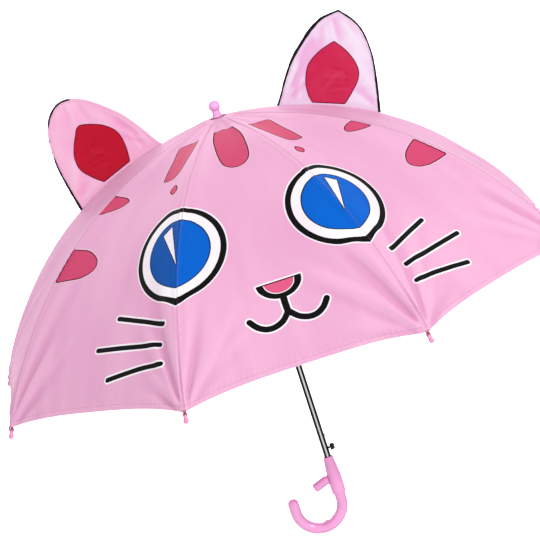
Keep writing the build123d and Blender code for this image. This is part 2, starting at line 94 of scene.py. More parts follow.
area_light("key_light", (2.35, -2.55, 2.3), (0.0, 0.0, 0.3), 1.3, 59.0, (1.0, 0.985, 0.97))
area_light("fill_light", (-3.0, -2.2, 1.4), (0.0, 0.0, 0.3), 2.4, 8.0, (1.0, 0.96, 0.98))
area_light("rim_light", (-0.6, 3.2, 2.4), (0.0, 0.0, 0.3), 2.0, 12.0)
area_light("side_light", (-3.0, 0.7, 2.2), (0.0, 0.0, 0.35), 1.6, 5.0, (1.0, 0.92, 0.96))
area_light("glint_light", (1.9, -3.1, 1.5), (0.0, 0.0, 0.2), 0.28, 8.0)

for k, (x, y) in enumerate(((-1.6, 6.0), (1.6, 6.0), (-2.0, 9.5), (2.0, 9.5), (0.0, 13.0))):
    area_light(f"backdrop_light_{k}", (x, y, 4.0), (x, y + 1.0, -1.15), 3.0, 170.0)

world = bpy.data.worlds.new("studio")
scene.world = world
world.use_nodes = True
wn = world.node_tree.nodes
wn["Background"].inputs["Color"].default_value = (1, 1, 1, 1)
wn["Background"].inputs["Strength"].default_value = 0.86
scene.view_settings.view_transform = "Standard"


# ------------------------------------------------------------------ materials
def material(name):
    m = bpy.data.materials.new(name)
    m.use_nodes = True
    nodes = m.node_tree.nodes
    return m, nodes, m.node_tree.links, nodes["Principled BSDF"]


def srgb(text):
    out = []
    for k in (0, 2, 4):
        c = int(text[k:k + 2], 16) / 255
        out.append(c / 12.92 if c <= 0.04045 else ((c + 0.055) / 1.055) ** 2.4)
    return tuple(out)


def node(nodes, kind, **inputs):
    n = nodes.new(kind)
    for k, v in inputs.items():
        if k in ("operation", "blend_type", "data_type", "wave_type", "bands_direction", "attribute_name", "feature", "uv_map"):
            setattr(n, k, v)
        else:
            n.inputs[k.replace("_", " ")].default_value = v
    return n


def maths(nodes, links, operation, a, b=None):
    n = nodes.new("ShaderNodeMath")
    n.operation = operation
    for i, v in enumerate((a, b)):
        if v is None:
            continue
        if isinstance(v, (int, float)):
            n.inputs[i].default_value = v
        else:
            links.new(v, n.inputs[i])
    return n.outputs[0]


def weave_height(nodes, links, pitch):
    """Plain weave: warp threads lie over weft threads in turn. Coordinates are the cloth's own flat metres."""
    uv = nodes.new("ShaderNodeUVMap")
    uv.uv_map = "cloth"
    parts = nodes.new("ShaderNodeSeparateXYZ")
    links.new(uv.outputs[0], parts.inputs[0])
    k = 2 * math.pi / pitch
    a = maths(nodes, links, "SINE", maths(nodes, links, "MULTIPLY", parts.outputs[0], k))
    b = maths(nodes, links, "SINE", maths(nodes, links, "MULTIPLY", parts.outputs[1], k))
    return maths(nodes, links, "MULTIPLY", a, b), uv.outputs[0]


def cloth_material(name, pitch=0.0011, rough=0.50, sheen=0.006, tint=(1.0, 0.86, 0.95, 1), fold_shade_colour=(0.90, 0.80, 0.87, 1), depth=1.0):
    m, nodes, links, bsdf = material(name)
    print_colour = node(nodes, "ShaderNodeAttribute", attribute_name="print")
    weave, uv = weave_height(nodes, links, pitch)
    # threads that run the length of the gore are dyed a little unevenly
    stretch = node(nodes, "ShaderNodeMapping")
    links.new(uv, stretch.inputs["Vector"])
    stretch.inputs["Scale"].default_value = (260.0, 9.0, 1.0)
    slub = node(nodes, "ShaderNodeTexNoise", Scale=1.0, Detail=2.0)
    links.new(stretch.outputs[0], slub.inputs["Vector"])
    cloud = node(nodes, "ShaderNodeTexNoise", Scale=14.0, Detail=3.0)
    links.new(uv, cloud.inputs["Vector"])
    shade = maths(nodes, links, "ADD", maths(nodes, links, "MULTIPLY", weave, 0.022), 0.955)
    shade = maths(nodes, links, "ADD", shade, maths(nodes, links, "MULTIPLY", slub.outputs[0], 0.045))
    shade = maths(nodes, links, "ADD", shade, maths(nodes, links, "MULTIPLY", cloud.outputs[0], 0.045))
    mix = node(nodes, "ShaderNodeMix", data_type="RGBA", blend_type="MULTIPLY")
    mix.inputs[0].default_value = 1.0
    links.new(print_colour.outputs["Color"], mix.inputs[6])
    links.new(shade, mix.inputs[7])
    # painted shade and light: from the fold attribute, the troughs of the folds are painted darker and pinker and the
    # ridges a little lighter, standing in for shading that the soft, even light does not give
    fold = node(nodes, "ShaderNodeAttribute", attribute_name="fold")
    deep = maths(nodes, links, "MULTIPLY", fold.outputs["Fac"], -1.0)
    deep = maths(nodes, links, "ADD", maths(nodes, links, "MULTIPLY", deep, 0.62 * depth), 0.30)
    low = node(nodes, "ShaderNodeClamp")
    links.new(deep, low.inputs[0])
    fold_shade_mix = node(nodes, "ShaderNodeMix", data_type="RGBA", blend_type="MULTIPLY")
    fold_shade_mix.inputs[7].default_value = fold_shade_colour
    links.new(low.outputs[0], fold_shade_mix.inputs[0])
    links.new(mix.outputs[2], fold_shade_mix.inputs[6])
    links.new(fold_shade_mix.outputs[2], bsdf.inputs["Base Color"])
    r = maths(nodes, links, "ADD", maths(nodes, links, "MULTIPLY", cloud.outputs[0], 0.10), rough - 0.05)
    links.new(r, bsdf.inputs["Roughness"])
    bump = node(nodes, "ShaderNodeBump", Strength=0.28, Distance=0.00012)
    height = maths(nodes, links, "ADD", weave, maths(nodes, links, "MULTIPLY", slub.outputs[0], 0.9))
    links.new(height, bump.inputs["Height"])
    links.new(bump.outputs[0], bsdf.inputs["Normal"])
    bsdf.inputs["Sheen Weight"].default_value = sheen
    bsdf.inputs["Sheen Roughness"].default_value = 0.45
    bsdf.inputs["Sheen Tint"].default_value = tint
    bsdf.inputs["Specular IOR Level"].default_value = 0.06
    return m


def solid_material(name, colour, rough, metal=0.0, spec=0.5, coat=0.0, vary=0.06, grain=600.0, bump_by=0.00002, rough_vary=0.08, sss=0.0, edge=None):
    """Moulded or metal finish: small uneven colour, uneven gloss and a fine grain. With edge given, painted shade
    deepens the colour toward the outline.
    """
    m, nodes, links, bsdf = material(name)
    where = nodes.new("ShaderNodeTexCoord")
    big = node(nodes, "ShaderNodeTexNoise", Scale=45.0, Detail=3.0)
    links.new(where.outputs["Object"], big.inputs["Vector"])
    fine = node(nodes, "ShaderNodeTexNoise", Scale=grain, Detail=4.0)
    links.new(where.outputs["Object"], fine.inputs["Vector"])
    ramp = nodes.new("ShaderNodeValToRGB")
    links.new(big.outputs[0], ramp.inputs[0])
    ramp.color_ramp.elements[0].position, ramp.color_ramp.elements[1].position = 0.3, 0.75
    ramp.color_ramp.elements[0].color = (*[c * (1 - vary) for c in colour], 1)
    ramp.color_ramp.elements[1].color = (*[min(1, c * (1 + vary)) for c in colour], 1)
    if edge:
        # painted shade: the colour is multiplied by the edge colour where the surface turns from view, standing in for
        # shading that the even white light does not give; tinted plastic also looks somewhat deeper there
        turn = nodes.new("ShaderNodeLayerWeight")
        turn.inputs["Blend"].default_value = 0.42
        rim = node(nodes, "ShaderNodeMix", data_type="RGBA", blend_type="MULTIPLY")
        links.new(turn.outputs["Facing"], rim.inputs[0])
        links.new(ramp.outputs[0], rim.inputs[6])
        rim.inputs[7].default_value = (*edge, 1)
        links.new(rim.outputs[2], bsdf.inputs["Base Color"])
    else:
        links.new(ramp.outputs[0], bsdf.inputs["Base Color"])
    r = maths(nodes, links, "ADD", maths(nodes, links, "MULTIPLY", fine.outputs[0], rough_vary), max(0.02, rough - rough_vary / 2))
    links.new(r, bsdf.inputs["Roughness"])
    bump = node(nodes, "ShaderNodeBump", Strength=0.35, Distance=bump_by)
    links.new(fine.outputs[0], bump.inputs["Height"])
    links.new(bump.outputs[0], bsdf.inputs["Normal"])
    bsdf.inputs["Metallic"].default_value = metal
    bsdf.inputs["Specular IOR Level"].default_value = spec
    bsdf.inputs["Coat Weight"].default_value = coat
    bsdf.inputs["Coat Roughness"].default_value = 0.08
    if sss:
        bsdf.inputs["Subsurface Weight"].default_value = sss
        bsdf.inputs["Subsurface Radius"].default_value = (0.004, 0.0016, 0.0024)
        bsdf.inputs["Subsurface Scale"].default_value = 1.0
    return m


def drawn_metal(name, colour, rough, streak=1.0, dark=0.0):
    """Drawn or plated tube: fine lines along its length. With dark given, a painted reflection makes its sides near
    black.
    """
    m, nodes, links, bsdf = material(name)
    where = nodes.new("ShaderNodeTexCoord")
    squash = node(nodes, "ShaderNodeMapping")
    squash.inputs["Scale"].default_value = (900.0, 900.0, 16.0)
    links.new(where.outputs["Object"], squash.inputs["Vector"])
    lines = node(nodes, "ShaderNodeTexNoise", Scale=1.0, Detail=3.0)
    links.new(squash.outputs[0], lines.inputs["Vector"])
    r = maths(nodes, links, "ADD", maths(nodes, links, "MULTIPLY", lines.outputs[0], 0.10 * streak), rough)
    links.new(r, bsdf.inputs["Roughness"])
    ramp = nodes.new("ShaderNodeValToRGB")
    links.new(lines.outputs[0], ramp.inputs[0])
    ramp.color_ramp.elements[0].color = (*[c * 0.86 for c in colour], 1)
    ramp.color_ramp.elements[1].color = (*colour, 1)
    if dark:
        # painted reflection: the base colour is made near black toward the tube's sides, with a thin bright line at the
        # very edge, standing in for dim surroundings mirrored in the chrome; the room itself is all white
        turn = nodes.new("ShaderNodeLayerWeight")
        turn.inputs["Blend"].default_value = 0.5
        sides = nodes.new("ShaderNodeValToRGB")
        links.new(turn.outputs["Facing"], sides.inputs[0])
        cr = sides.color_ramp
        cr.elements[0].position, cr.elements[0].color = 0.0, (1, 1, 1, 1)
        cr.elements[1].position, cr.elements[1].color = 1.0, (0.015, 0.015, 0.015, 1)
        for where_, grey in ((0.03, 1.0), (0.055, 0.50), (0.09, 0.06), (0.20, 0.008), (0.80, 0.008)):
            e = cr.elements.new(where_)
            e.color = (grey, grey, grey, 1)
        both = node(nodes, "ShaderNodeMix", data_type="RGBA", blend_type="MULTIPLY")
        both.inputs[0].default_value = dark
        links.new(ramp.outputs[0], both.inputs[6])
        links.new(sides.outputs[0], both.inputs[7])
        links.new(both.outputs[2], bsdf.inputs["Base Color"])
    else:
        links.new(ramp.outputs[0], bsdf.inputs["Base Color"])
    bump = node(nodes, "ShaderNodeBump", Strength=0.15 * streak, Distance=0.00001)
    links.new(lines.outputs[0], bump.inputs["Height"])
    links.new(bump.outputs[0], bsdf.inputs["Normal"])
    bsdf.inputs["Metallic"].default_value = 1.0
    return m


PINK = (0.755, 0.40, 0.585)
# painted light: the two ears are one cloth; the right ear is painted paler as if lit, the left a deeper pink as if in
# shade
EAR_PINK_BY_LIGHT = {"right": (0.74, 0.64, 0.76), "left": (0.90, 0.55, 0.72)}
WHITE = (0.86, 0.84, 0.86)
HALO = (0.80, 0.60, 0.68)
BLACK = (0.004, 0.0035, 0.004)
BLUE = (0.0, 0.115, 0.56)
# darker blue, used as painted shade on one iris
IRIS_PAINTED_SHADE = (0.0, 0.082, 0.37)
NAVY = (0.003, 0.020, 0.09)
ROSE = (0.60, 0.062, 0.155)
WINE = (0.13, 0.004, 0.030)
NOSE = (0.68, 0.10, 0.22)

CLOTH = cloth_material("canopy_cloth")
# the colour given to the ear cloth here is the painted shade in the troughs of its folds
EAR_CLOTH = cloth_material("ear_cloth", rough=0.36, fold_shade_colour=(0.96, 0.62, 0.82, 1), depth=0.9)
THREAD = solid_material("sewing_thread", (0.62, 0.22, 0.38), 0.7, spec=0.2, grain=2500.0, bump_by=0.0001)
SEAM_THREAD = solid_material("seam_thread", (0.30, 0.075, 0.16), 0.7, spec=0.2, grain=2500.0, bump_by=0.0001)
PATCH_THREAD = solid_material("patch_thread", (0.14, 0.008, 0.03), 0.7, spec=0.2, grain=2500.0, bump_by=0.0001)
THREAD_DARK = solid_material("corner_thread", (0.42, 0.05, 0.14), 0.7, spec=0.2, grain=2500.0, bump_by=0.0001)
BINDING = solid_material("ear_binding", (0.006, 0.006, 0.007), 0.75, spec=0.15, grain=1500.0, bump_by=0.00012, vary=0.25)
LACQUER = solid_material("black_lacquer", (0.010, 0.010, 0.011), 0.30, spec=0.4, coat=0.15, vary=0.2)
BRIGHT = drawn_metal("bright_wire", (0.62, 0.62, 0.64), 0.22)
# the chrome's near-black sides are a painted reflection
CHROME = drawn_metal("chrome_tube", (0.86, 0.87, 0.88), 0.06, streak=0.5, dark=1.0)
# the edge colours below are painted shade toward the outlines of the handle, whistle, tips and ferrule
HANDLE = solid_material("handle_plastic", (0.86, 0.37, 0.69), 0.18, spec=0.55, coat=0.65, vary=0.09, grain=260.0, bump_by=0.00003, rough_vary=0.05, sss=0.1, edge=(0.50, 0.06, 0.28))
TIP = solid_material("tip_plastic", (0.82, 0.30, 0.52), 0.24, spec=0.5, coat=0.25, vary=0.06, sss=0.1, edge=(0.62, 0.12, 0.35))
FERRULE = solid_material("ferrule_plastic", (0.86, 0.44, 0.78), 0.22, spec=0.5, coat=0.4, vary=0.05, sss=0.1, edge=(0.66, 0.20, 0.50))
BLACK_PLASTIC = solid_material("black_plastic", (0.014, 0.014, 0.015), 0.42, spec=0.45, vary=0.25, bump_by=0.00005)
KNOB = solid_material("knob_plastic", (0.006, 0.006, 0.007), 0.34, spec=0.3, vary=0.2)


def dress(name, mat):
    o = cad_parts[name]
    if not o.material_slots:
        o.data.materials.append(mat)
    for s in o.material_slots:
        s.link = "OBJECT"
        s.material = mat


for i in range(1, 9):
    dress(f"rib_{i}", LACQUER)
    dress(f"stretcher_{i}", LACQUER)
    dress(f"rib_rivet_{i}", BRIGHT)
    dress(f"rib_tip_{i}", TIP)
dress("shaft", CHROME)
for name in ("crown_wire", "crown_pin", "runner_wire", "runner_key", "main_spring", "bottom_catch"):
    dress(name, BRIGHT)
for name in ("crown", "runner", "spring_plunger"):
    dress(name, BLACK_PLASTIC)
dress("release_button", KNOB)
dress("handle", HANDLE)
dress("whistle", HANDLE)
dress("ferrule", FERRULE)

# ------------------------------------------------------------------ the canopy's surface
PIVOT_R, PIVOT_Z, ARC = 9.0, 475.0, 465.0
SLOPE_IN, SLOPE_OUT = math.radians(5.5), math.radians(64.0)
RHO = ARC / (SLOPE_OUT - SLOPE_IN)
BEND_R = PIVOT_R - RHO * math.sin(SLOPE_IN)
BEND_Z = PIVOT_Z - RHO * math.cos(SLOPE_IN)
GORE = math.radians(45.0)
CORNER = ARC - 7.4  # the cloth's corner, along the rib
SCALLOP = 10.0
START = -4.0  # the cloth's edge round the shaft
HEM = 7.5
THICK = 0.40


def smooth(t):
    t = np.clip(t, 0.0, 1.0)
    return t * t * (3 - 2 * t)


def cloth_offset(s):
    """How far the cloth's outer face stands off the ribs' centre line: it rises onto the crown at the top."""
    knots = ((-4.0, 4.0), (3.5, 4.35), (20.0, 3.1), (38.0, 2.5), (70.0, 2.4))
    out = np.full(np.shape(s), 2.4)
    for (a, u), (b, v) in zip(knots, knots[1:]):
        out = np.where((s >= a) & (s < b), u + (v - u) * smooth((s - a) / (b - a)), out)
    return np.where(s < -4, 4.0, out)


def line(s):
    slope = SLOPE_IN + s / RHO
    r = BEND_R + (RHO + cloth_offset(s)) * np.sin(slope)
    z = BEND_Z + (RHO + cloth_offset(s)) * np.cos(slope)
    return r, z, slope


def width(s):
    """The gore's width at s, rib to rib."""
    return 2 * line(s)[0] * math.sin(GORE / 2)


def azimuth(g):
    """Rib number (8 is also 0) to angle from the front."""
    return math.radians(22.5) + (g - 1) * GORE


def base(g, s):
    j = np.floor(g)
    f = g - j
    r, z, _ = line(s)
    a, b = azimuth(j), azimuth(j + 1)
    x = r * ((1 - f) * np.sin(a) + f * np.sin(b))
    y = -r * ((1 - f) * np.cos(a) + f * np.cos(b))
    return np.stack([x, y, z], -1)


def outward(g, s):
    """Direction in which the cloth's relief stands up; even across the ribs and the middle of the gores."""
    j = np.floor(g)
    f = g - j
    half = GORE / 2
    turn = azimuth(j) + half + np.arctan(np.tan(half) * (2 * f - 1))
    slope = SLOPE_IN + s / RHO
    return np.stack([np.sin(slope) * np.sin(turn), -np.sin(slope) * np.cos(turn), np.cos(slope)], -1)


def hem_at(g):
    d = np.abs(g - np.round(g))
    return CORNER - SCALLOP * (1 - np.abs(2 * d - 1) ** 3)


TABLE = np.random.RandomState(11).rand(256, 256) * 2 - 1


def noise(u, v, seed=0):
    """Smooth repeatable noise, -1 to 1."""
    u = np.asarray(u, float) + 17.3 * seed
    v = np.asarray(v, float) + 5.7 * seed
    i, j = np.floor(u).astype(int), np.floor(v).astype(int)
    a, b = smooth(u - i), smooth(v - j)
    t = lambda p, q: TABLE[p % 256, q % 256]
    return (1 - a) * (1 - b) * t(i, j) + a * (1 - b) * t(i + 1, j) + (1 - a) * b * t(i, j + 1) + a * b * t(i + 1, j + 1)


# tension folds that fan out of each sewn corner: rib, side, angle from the rib, length, height, breadth
FOLDS = []
FOLD_GAIN = 2.4
rng = np.random.RandomState(5)
for k in range(8):
    for side in (-1, 1):
        for lean, reach, tall, broad in ((7, 190, 0.95, 2.6), (17, 150, -0.75, 3.2), (29, 175, 0.85, 3.6), (44, 120, 0.55, 3.6), (62, 95, -0.45, 3.2)):
            FOLDS.append((k, side, math.radians(lean * (0.8 + 0.4 * rng.rand())), reach * (0.7 + 0.6 * rng.rand()),
                          tall * (0.6 + 0.7 * rng.rand()), broad * (0.8 + 0.4 * rng.rand())))
# and a weaker fan that comes down from the crown
for k in range(8):
    for side in (-1, 1):
        for lean, reach, tall, broad in ((6, 150, 0.30, 2.4), (13, 110, -0.25, 2.6)):
            FOLDS.append((k + 100, side, math.radians(lean * (0.8 + 0.4 * rng.rand())), reach * (0.7 + 0.6 * rng.rand()), tall, broad))


def sag(g, s):
    """The cloth hangs in a little between the ribs, more in the plain gores at the back."""
    gore = np.mod(np.floor(g), 8)
    f = g - np.floor(g)
    deep = np.where((gore >= 2) & (gore <= 6), 3.6, 2.4)
    bow = (4 * f * (1 - f)) ** 1.2
    return -deep * bow * smooth((s - 25) / 120) * (1 - 0.75 * smooth((s - 300) / 150))


def relief(g, s, whole=True):
    """Height of the cloth above its stretched form."""
    near = np.round(g)
    k = np.mod(near, 8).astype(int)
    gore = np.mod(np.floor(g), 8)
    side = np.where(g >= near, 1, -1)
    f = g - np.floor(g)
    w = width(s)
    x = np.abs(g - near) * w
    across = (f - 0.5) * w
    up = hem_at(g) - s
    out = sag(g, s) if whole else 0.0
    # the seam: a groove between two rolled lips, a little loose along its length
    lips = np.exp(-(((x - 2.3) / 1.15) ** 2)) - 0.9 * np.exp(-((x / 0.75) ** 2))
    out = out + 0.55 * lips * smooth((s - 6) / 14) * (0.85 + 0.25 * noise(s / 19.0, k * 3.1, 1))
    out = out - 0.22 * np.exp(-(((x - 7.2) / 1.6) ** 2)) * smooth((s - 60) / 60)
    pucker = np.exp(-x / 9.0) * (1 - np.exp(-((x / 1.6) ** 2)))
    wave = np.sin(2 * math.pi * (s + 0.45 * x * side) / (9.5 + 1.5 * np.sin(k * 1.7)) + 2.2 * noise(s / 31.0, k + 0.5, 2) + k)
    out = out + 0.34 * pucker * wave * (0.55 + 0.45 * noise(s / 47.0, k * 2.0 + side, 3)) * smooth((s - 12) / 30)
    # folds out of the corners and the crown
    for kk, sd, lean, reach, tall, broad in FOLDS:
        crown = kk >= 100
        mask = (k == kk % 100 % 8) & (side == sd)
        if not mask.any():
            continue
        y = (s - START) if crown else (CORNER - s)
        along = y * math.cos(lean) + x * math.sin(lean)
        off = -y * math.sin(lean) + x * math.cos(lean)
        breadth = broad + 0.045 * np.maximum(along, 0)
        shape = np.exp(-((off / breadth) ** 2)) - 0.45 * np.exp(-(((off - 1.9 * breadth) / breadth) ** 2)) - 0.3 * np.exp(-(((off + 1.9 * breadth) / breadth) ** 2))
        fade = smooth(along / 16.0) * (1 - smooth((along - 0.35 * reach) / (0.65 * reach)))
        inner = smooth(x / 3.0) * smooth((0.5 - np.abs(g - near)) / 0.12)
        out = out + np.where(mask, FOLD_GAIN * tall * shape * fade * inner, 0.0)
    free = (1 - np.exp(-((x / 16.0) ** 2)))
    out = out + free * (0.62 * noise(across / 46.0 + gore * 7.3, s / 88.0, 4) + 0.26 * noise(across / 15.0 + gore * 3.3, s / 120.0, 5) + 0.10 * noise(across / 7.0, s / 40.0 + gore * 5.1, 6)) * smooth((s - 15) / 60)
    # the turned hem and its line of stitches
    band = 1 - smooth((up - HEM + 0.4) / 0.8)
    out = out + 0.36 * band - 0.26 * np.exp(-(((up - HEM + 1.3) / 0.55) ** 2))
    out = out + 0.20 * np.exp(-(((up - HEM + 1.0) / 7.0) ** 2)) * np.sin(2 * math.pi * (g - near) * w / 6.3 + 1.6 * noise(across / 21.0, gore + 0.3, 7)) * smooth(x / 8.0)
    # gathers under the ferrule
    out = out + 0.28 * np.exp(-np.maximum(s, 0) / 9.0) * np.sin(g * 2 * math.pi * 3 + 0.7) * smooth((s + 3) / 6)
    return out


def surface(g, s, lift=0.0):
    return base(g, s) + outward(g, s) * (relief(g, s) + lift)[..., None]


def normals(g, s):
    dg = 0.3 / np.maximum(width(s), 3.0)
    u = surface(g + dg, s) - surface(g - dg, s)
    v = surface(g, s + 0.3) - surface(g, s - 0.3)
    n = np.cross(v, u)
    n /= np.linalg.norm(n, axis=-1, keepdims=True)
    flip = np.sum(n * outward(g, s), -1) < 0
    n[flip] *= -1
    return n


# ------------------------------------------------------------------ the printed pattern
# Every outline is a closed list of (gore coordinate, distance from the crown). Gore coordinates count the ribs: the face lies between 0 and 1.
def spline(points, closed=True, step=1.3, corners=()):
    """Smooth line through the points, with sharp turns at the points numbered in corners."""
    p = np.array(points, float)
    n = len(p)
    out = []
    for i in range(n if closed else n - 1):
        a, b = p[i], p[(i + 1) % n]
        before = p[i - 1] if (closed or i) else a
        after = p[(i + 2) % n] if (closed or i + 2 < n) else b
        ta = (b - a) if i in corners else (b - before) / 2
        tb = (b - a) if (i + 1) % n in corners else (after - a) / 2
        m = max(2, int(np.hypot(*(b - a)) / step) + 1)
        for t in np.arange(m) / m:
            h = (2 * t**3 - 3 * t**2 + 1, t**3 - 2 * t**2 + t, -2 * t**3 + 3 * t**2, t**3 - t**2)
            out.append(h[0] * a + h[1] * ta + h[2] * b + h[3] * tb)
    if not closed:
        out.append(p[-1])
    return np.array(out)


def area_of(p):
    x, y = p[:, 0], p[:, 1]
    return 0.5 * np.sum(x * np.roll(y, -1) - np.roll(x, -1) * y)


def grown(p, by):
    """Outline moved out by an even amount."""
    if area_of(p) < 0:
        p = p[::-1]
    t = np.roll(p, -1, 0) - np.roll(p, 1, 0)
    n = np.stack([t[:, 1], -t[:, 0]], -1)
    n /= np.maximum(np.linalg.norm(n, axis=1, keepdims=True), 1e-9)
    return p + n * by


def stroke(points, thick, step=1.2):
    """Pen stroke of even thickness with round ends."""
    p = spline(points, closed=False, step=step)
    t = np.gradient(p, axis=0)
    t /= np.maximum(np.linalg.norm(t, axis=1, keepdims=True), 1e-9)
    n = np.stack([-t[:, 1], t[:, 0]], -1)
    h = thick / 2
    turn = lambda c, d, a: c + h * np.stack([np.cos(a) * d[0] - np.sin(a) * d[1], np.sin(a) * d[0] + np.cos(a) * d[1]], -1)
    cap = np.linspace(-math.pi / 2, math.pi / 2, 9)[1:-1]
    end = turn(p[-1], t[-1], cap)
    start = turn(p[0], -t[0], cap)
    return np.concatenate([p - n * h, end, (p + n * h)[::-1], start])


def flat_to_gore(p, at):
    """Flat millimetres beside the line at gore coordinate `at` to gore coordinates."""
    return np.stack([at + p[:, 0] / width(p[:, 1]), p[:, 1]], -1)


def gore_to_flat(p, at):
    p = np.array(p, float)
    return np.stack([(p[:, 0] - at) * width(p[:, 1]), p[:, 1]], -1)


PRINTS = []  # (outline, colour), painted in turn


def paint(flat, at, colour, mirror=True):
    PRINTS.append((flat_to_gore(flat, at), colour))
    if mirror:
        m = flat.copy()
        m[:, 0] *= -1
        PRINTS.append((flat_to_gore(m, 1 - at), colour))


# eyes, centred on the ribs each side of the face: half outlines as radii every 15 degrees from the top, towards the nose and away from it
EYE_AT = 262.0
EYES = {
    "outer": ((69.8, 63.2, 58.8, 56.0, 55.0, 55.7, 57.8, 60.9, 63.7, 65.5, 65.6, 64.6, 68.6), (69.8, 69.3, 64.7, 61.9, 60.6, 61.1, 62.7, 65.4, 67.4, 68.0, 66.6, 64.6, 68.6)),
    "white": ((62.8, 56.9, 52.3, 49.7, 48.7, 49.0, 50.8, 53.0, 55.4, 57.3, 57.7, 57.3, 58.9), (62.8, 62.4, 58.8, 56.0, 54.9, 55.0, 56.3, 58.2, 59.8, 60.0, 58.9, 57.6, 58.9)),
    "iris": ((49.8, 44.9, 40.7, 38.3, 37.0, 37.1, 38.0, 39.6, 41.3, 42.7, 43.3, 43.7, 44.8), (49.8, 49.2, 46.8, 44.5, 43.2, 42.9, 43.5, 44.5, 45.1, 45.1, 44.2, 43.9, 44.8)),
}


def eye_outline(which):
    nose, outer = EYES[which]
    pts = [(math.cos(math.radians(a)) * r, math.sin(math.radians(a)) * r) for a, r in zip(range(-90, 91, 15), nose)]
    pts += [(-math.cos(math.radians(a)) * r, math.sin(math.radians(a)) * r) for a, r in reversed(list(zip(range(-90, 91, 15), outer)))][1:-1]
    p = spline(pts, corners=(0, 12))
    p[:, 1] += EYE_AT
    return p


eye = {k: eye_outline(k) for k in EYES}
paint(grown(eye["outer"], 1.8), 0.0, WHITE)
paint(eye["outer"], 0.0, BLACK)
paint(eye["white"], 0.0, WHITE)
paint(grown(eye["iris"], 1.5), 0.0, NAVY)
paint(eye["iris"], 0.0, BLUE)
# painted shade: the outer half of the left eye's iris is painted a darker blue, as if that side were turned from the
# light
shade = eye["iris"].copy()
shade[:, 0] = np.minimum(shade[:, 0], 0.0)
PRINTS.append((flat_to_gore(shade, 0.0), IRIS_PAINTED_SHADE))
wedge = gore_to_flat([(-0.146, 232.6), (-0.078, 220.4), (-0.004, 276.0)], 0.0)
wedge = spline(wedge, corners=(0, 1, 2))
paint(grown(wedge, 1.5), 0.0, NAVY)
paint(wedge, 0.0, WHITE)

# nose, stem and mouth, on the middle of the front gore
MID = 0.512
nose_back = spline([(-27.0, 339.6), (27.0, 339.6), (24.6, 349.5), (14.5, 359.5), (0.0, 363.2), (-14.5, 359.5), (-24.6, 349.5)], corners=(0, 1))
nose_fill = spline([(-17.6, 341.2), (17.6, 341.2), (15.3, 348.0), (8.5, 353.8), (0.0, 355.6), (-8.5, 353.8), (-15.3, 348.0)], corners=(0, 1))
nose_glow = spline([(-18.6, 341.2), (18.6, 341.2), (16.2, 348.7), (9.1, 354.7), (0.0, 356.6), (-9.1, 354.7), (-16.2, 348.7)], corners=(0, 1))
stem = [(0.0, 358.0), (-0.6, 370.0), (-0.4, 383.5)]
smile = [(-0.8, 381.8), (-9.2, 390.8), (-19.8, 395.2), (-30.2, 394.6), (-39.2, 389.0), (-45.6, 380.2)]
smile_b = [(-x, y) for x, y in smile]
for grow in (2.0, 0.0):
    colour = WHITE if grow else BLACK
    paint(grown(nose_back, grow), MID, colour, mirror=False)
    paint(stroke(stem, 8.0 + 2 * grow), MID, colour, mirror=False)
    paint(stroke(smile, 7.3 + 2 * grow), MID, colour, mirror=False)
    paint(stroke(smile_b, 7.3 + 2 * grow), MID, colour, mirror=False)
paint(nose_glow, MID, WHITE, mirror=False)
paint(nose_fill, MID, NOSE, mirror=False)

# whiskers, three on each cheek
for points in ([(-0.398, 338.0), (-0.085, 351.0)], [(-0.513, 375.0), (-0.112, 375.6)], [(-0.434, 412.0), (-0.24, 402.5), (-0.104, 399.3)]):
    flat = gore_to_flat(points, -0.5)
    paint(stroke(flat, 5.8 + 4.2), -0.5, WHITE)
    paint(stroke(flat, 5.8), -0.5, BLACK)


def spot(points, at, corners=(), mirror=True):
    p = spline(gore_to_flat(points, at), corners=corners)
    paint(grown(p, 2.5), at, HALO, mirror)
    paint(grown(p, 1.6), at, WINE, mirror)
    paint(p, at, ROSE, mirror)


spot([(0.27, 45.0), (0.77, 45.0), (0.79, 73.0), (0.728, 106.0), (0.675, 128.0), (0.606, 140.0), (0.522, 144.0), (0.438, 140.0), (0.369, 128.0), (0.316, 101.0), (0.266, 69.0)], 0.5, corners=(0, 1), mirror=False)
spot([(-0.17, 57.0), (-0.62, 68.0), (-0.47, 98.0), (-0.425, 121.0), (-0.392, 137.5), (-0.30, 135.5), (-0.232, 127.0), (-0.19, 107.0), (-0.158, 80.0)], -0.5, corners=(0, 1, 4))
spot([(-0.18, 149.5), (-0.14, 156.8), (-0.168, 164.5), (-0.212, 158.6)], -0.5)
spot([(-0.985, 154.5), (-0.80, 160.0), (-0.735, 166.0), (-0.80, 174.5), (-0.985, 182.5)], -0.5, corners=(0, 2, 4), mirror=False)
spot([(-0.982, 236.0), (-0.83, 240.5), (-0.722, 254.0), (-0.715, 267.0), (-0.80, 276.0), (-0.982, 279.0)], -0.5, corners=(0, 5), mirror=False)
spot([(1.978, 158.5), (1.885, 159.5), (1.805, 164.5), (1.80, 171.5), (1.885, 178.5), (1.978, 181.5)], 1.5, corners=(0, 5), mirror=False)
spot([(1.978, 236.5), (1.849, 244.0), (1.773, 251.8), (1.725, 262.3), (1.745, 272.0), (1.808, 277.3), (1.88, 278.4), (1.978, 277.5)], 1.5, corners=(0, 7), mirror=False)


# ------------------------------------------------------------------ cloth meshes
def inside(p, polygon):
    """Even-odd test of points p against a closed outline."""
    a, b = polygon, np.roll(polygon, -1, 0)
    lo, hi = polygon.min(0) - 1e-6, polygon.max(0) + 1e-6
    hit = np.zeros(len(p), bool)
    near = np.where((p[:, 0] >= lo[0]) & (p[:, 0] <= hi[0]) & (p[:, 1] >= lo[1]) & (p[:, 1] <= hi[1]))[0]
    q = p[near]
    count = np.zeros(len(q), int)
    for (ax, ay), (bx, by) in zip(a, b):
        if ay == by:
            continue
        cross = (ay > q[:, 1]) != (by > q[:, 1])
        x = ax + (q[:, 1] - ay) * (bx - ax) / (by - ay)
        count += cross & (q[:, 0] < x)
    hit[near] = count % 2 == 1
    return hit


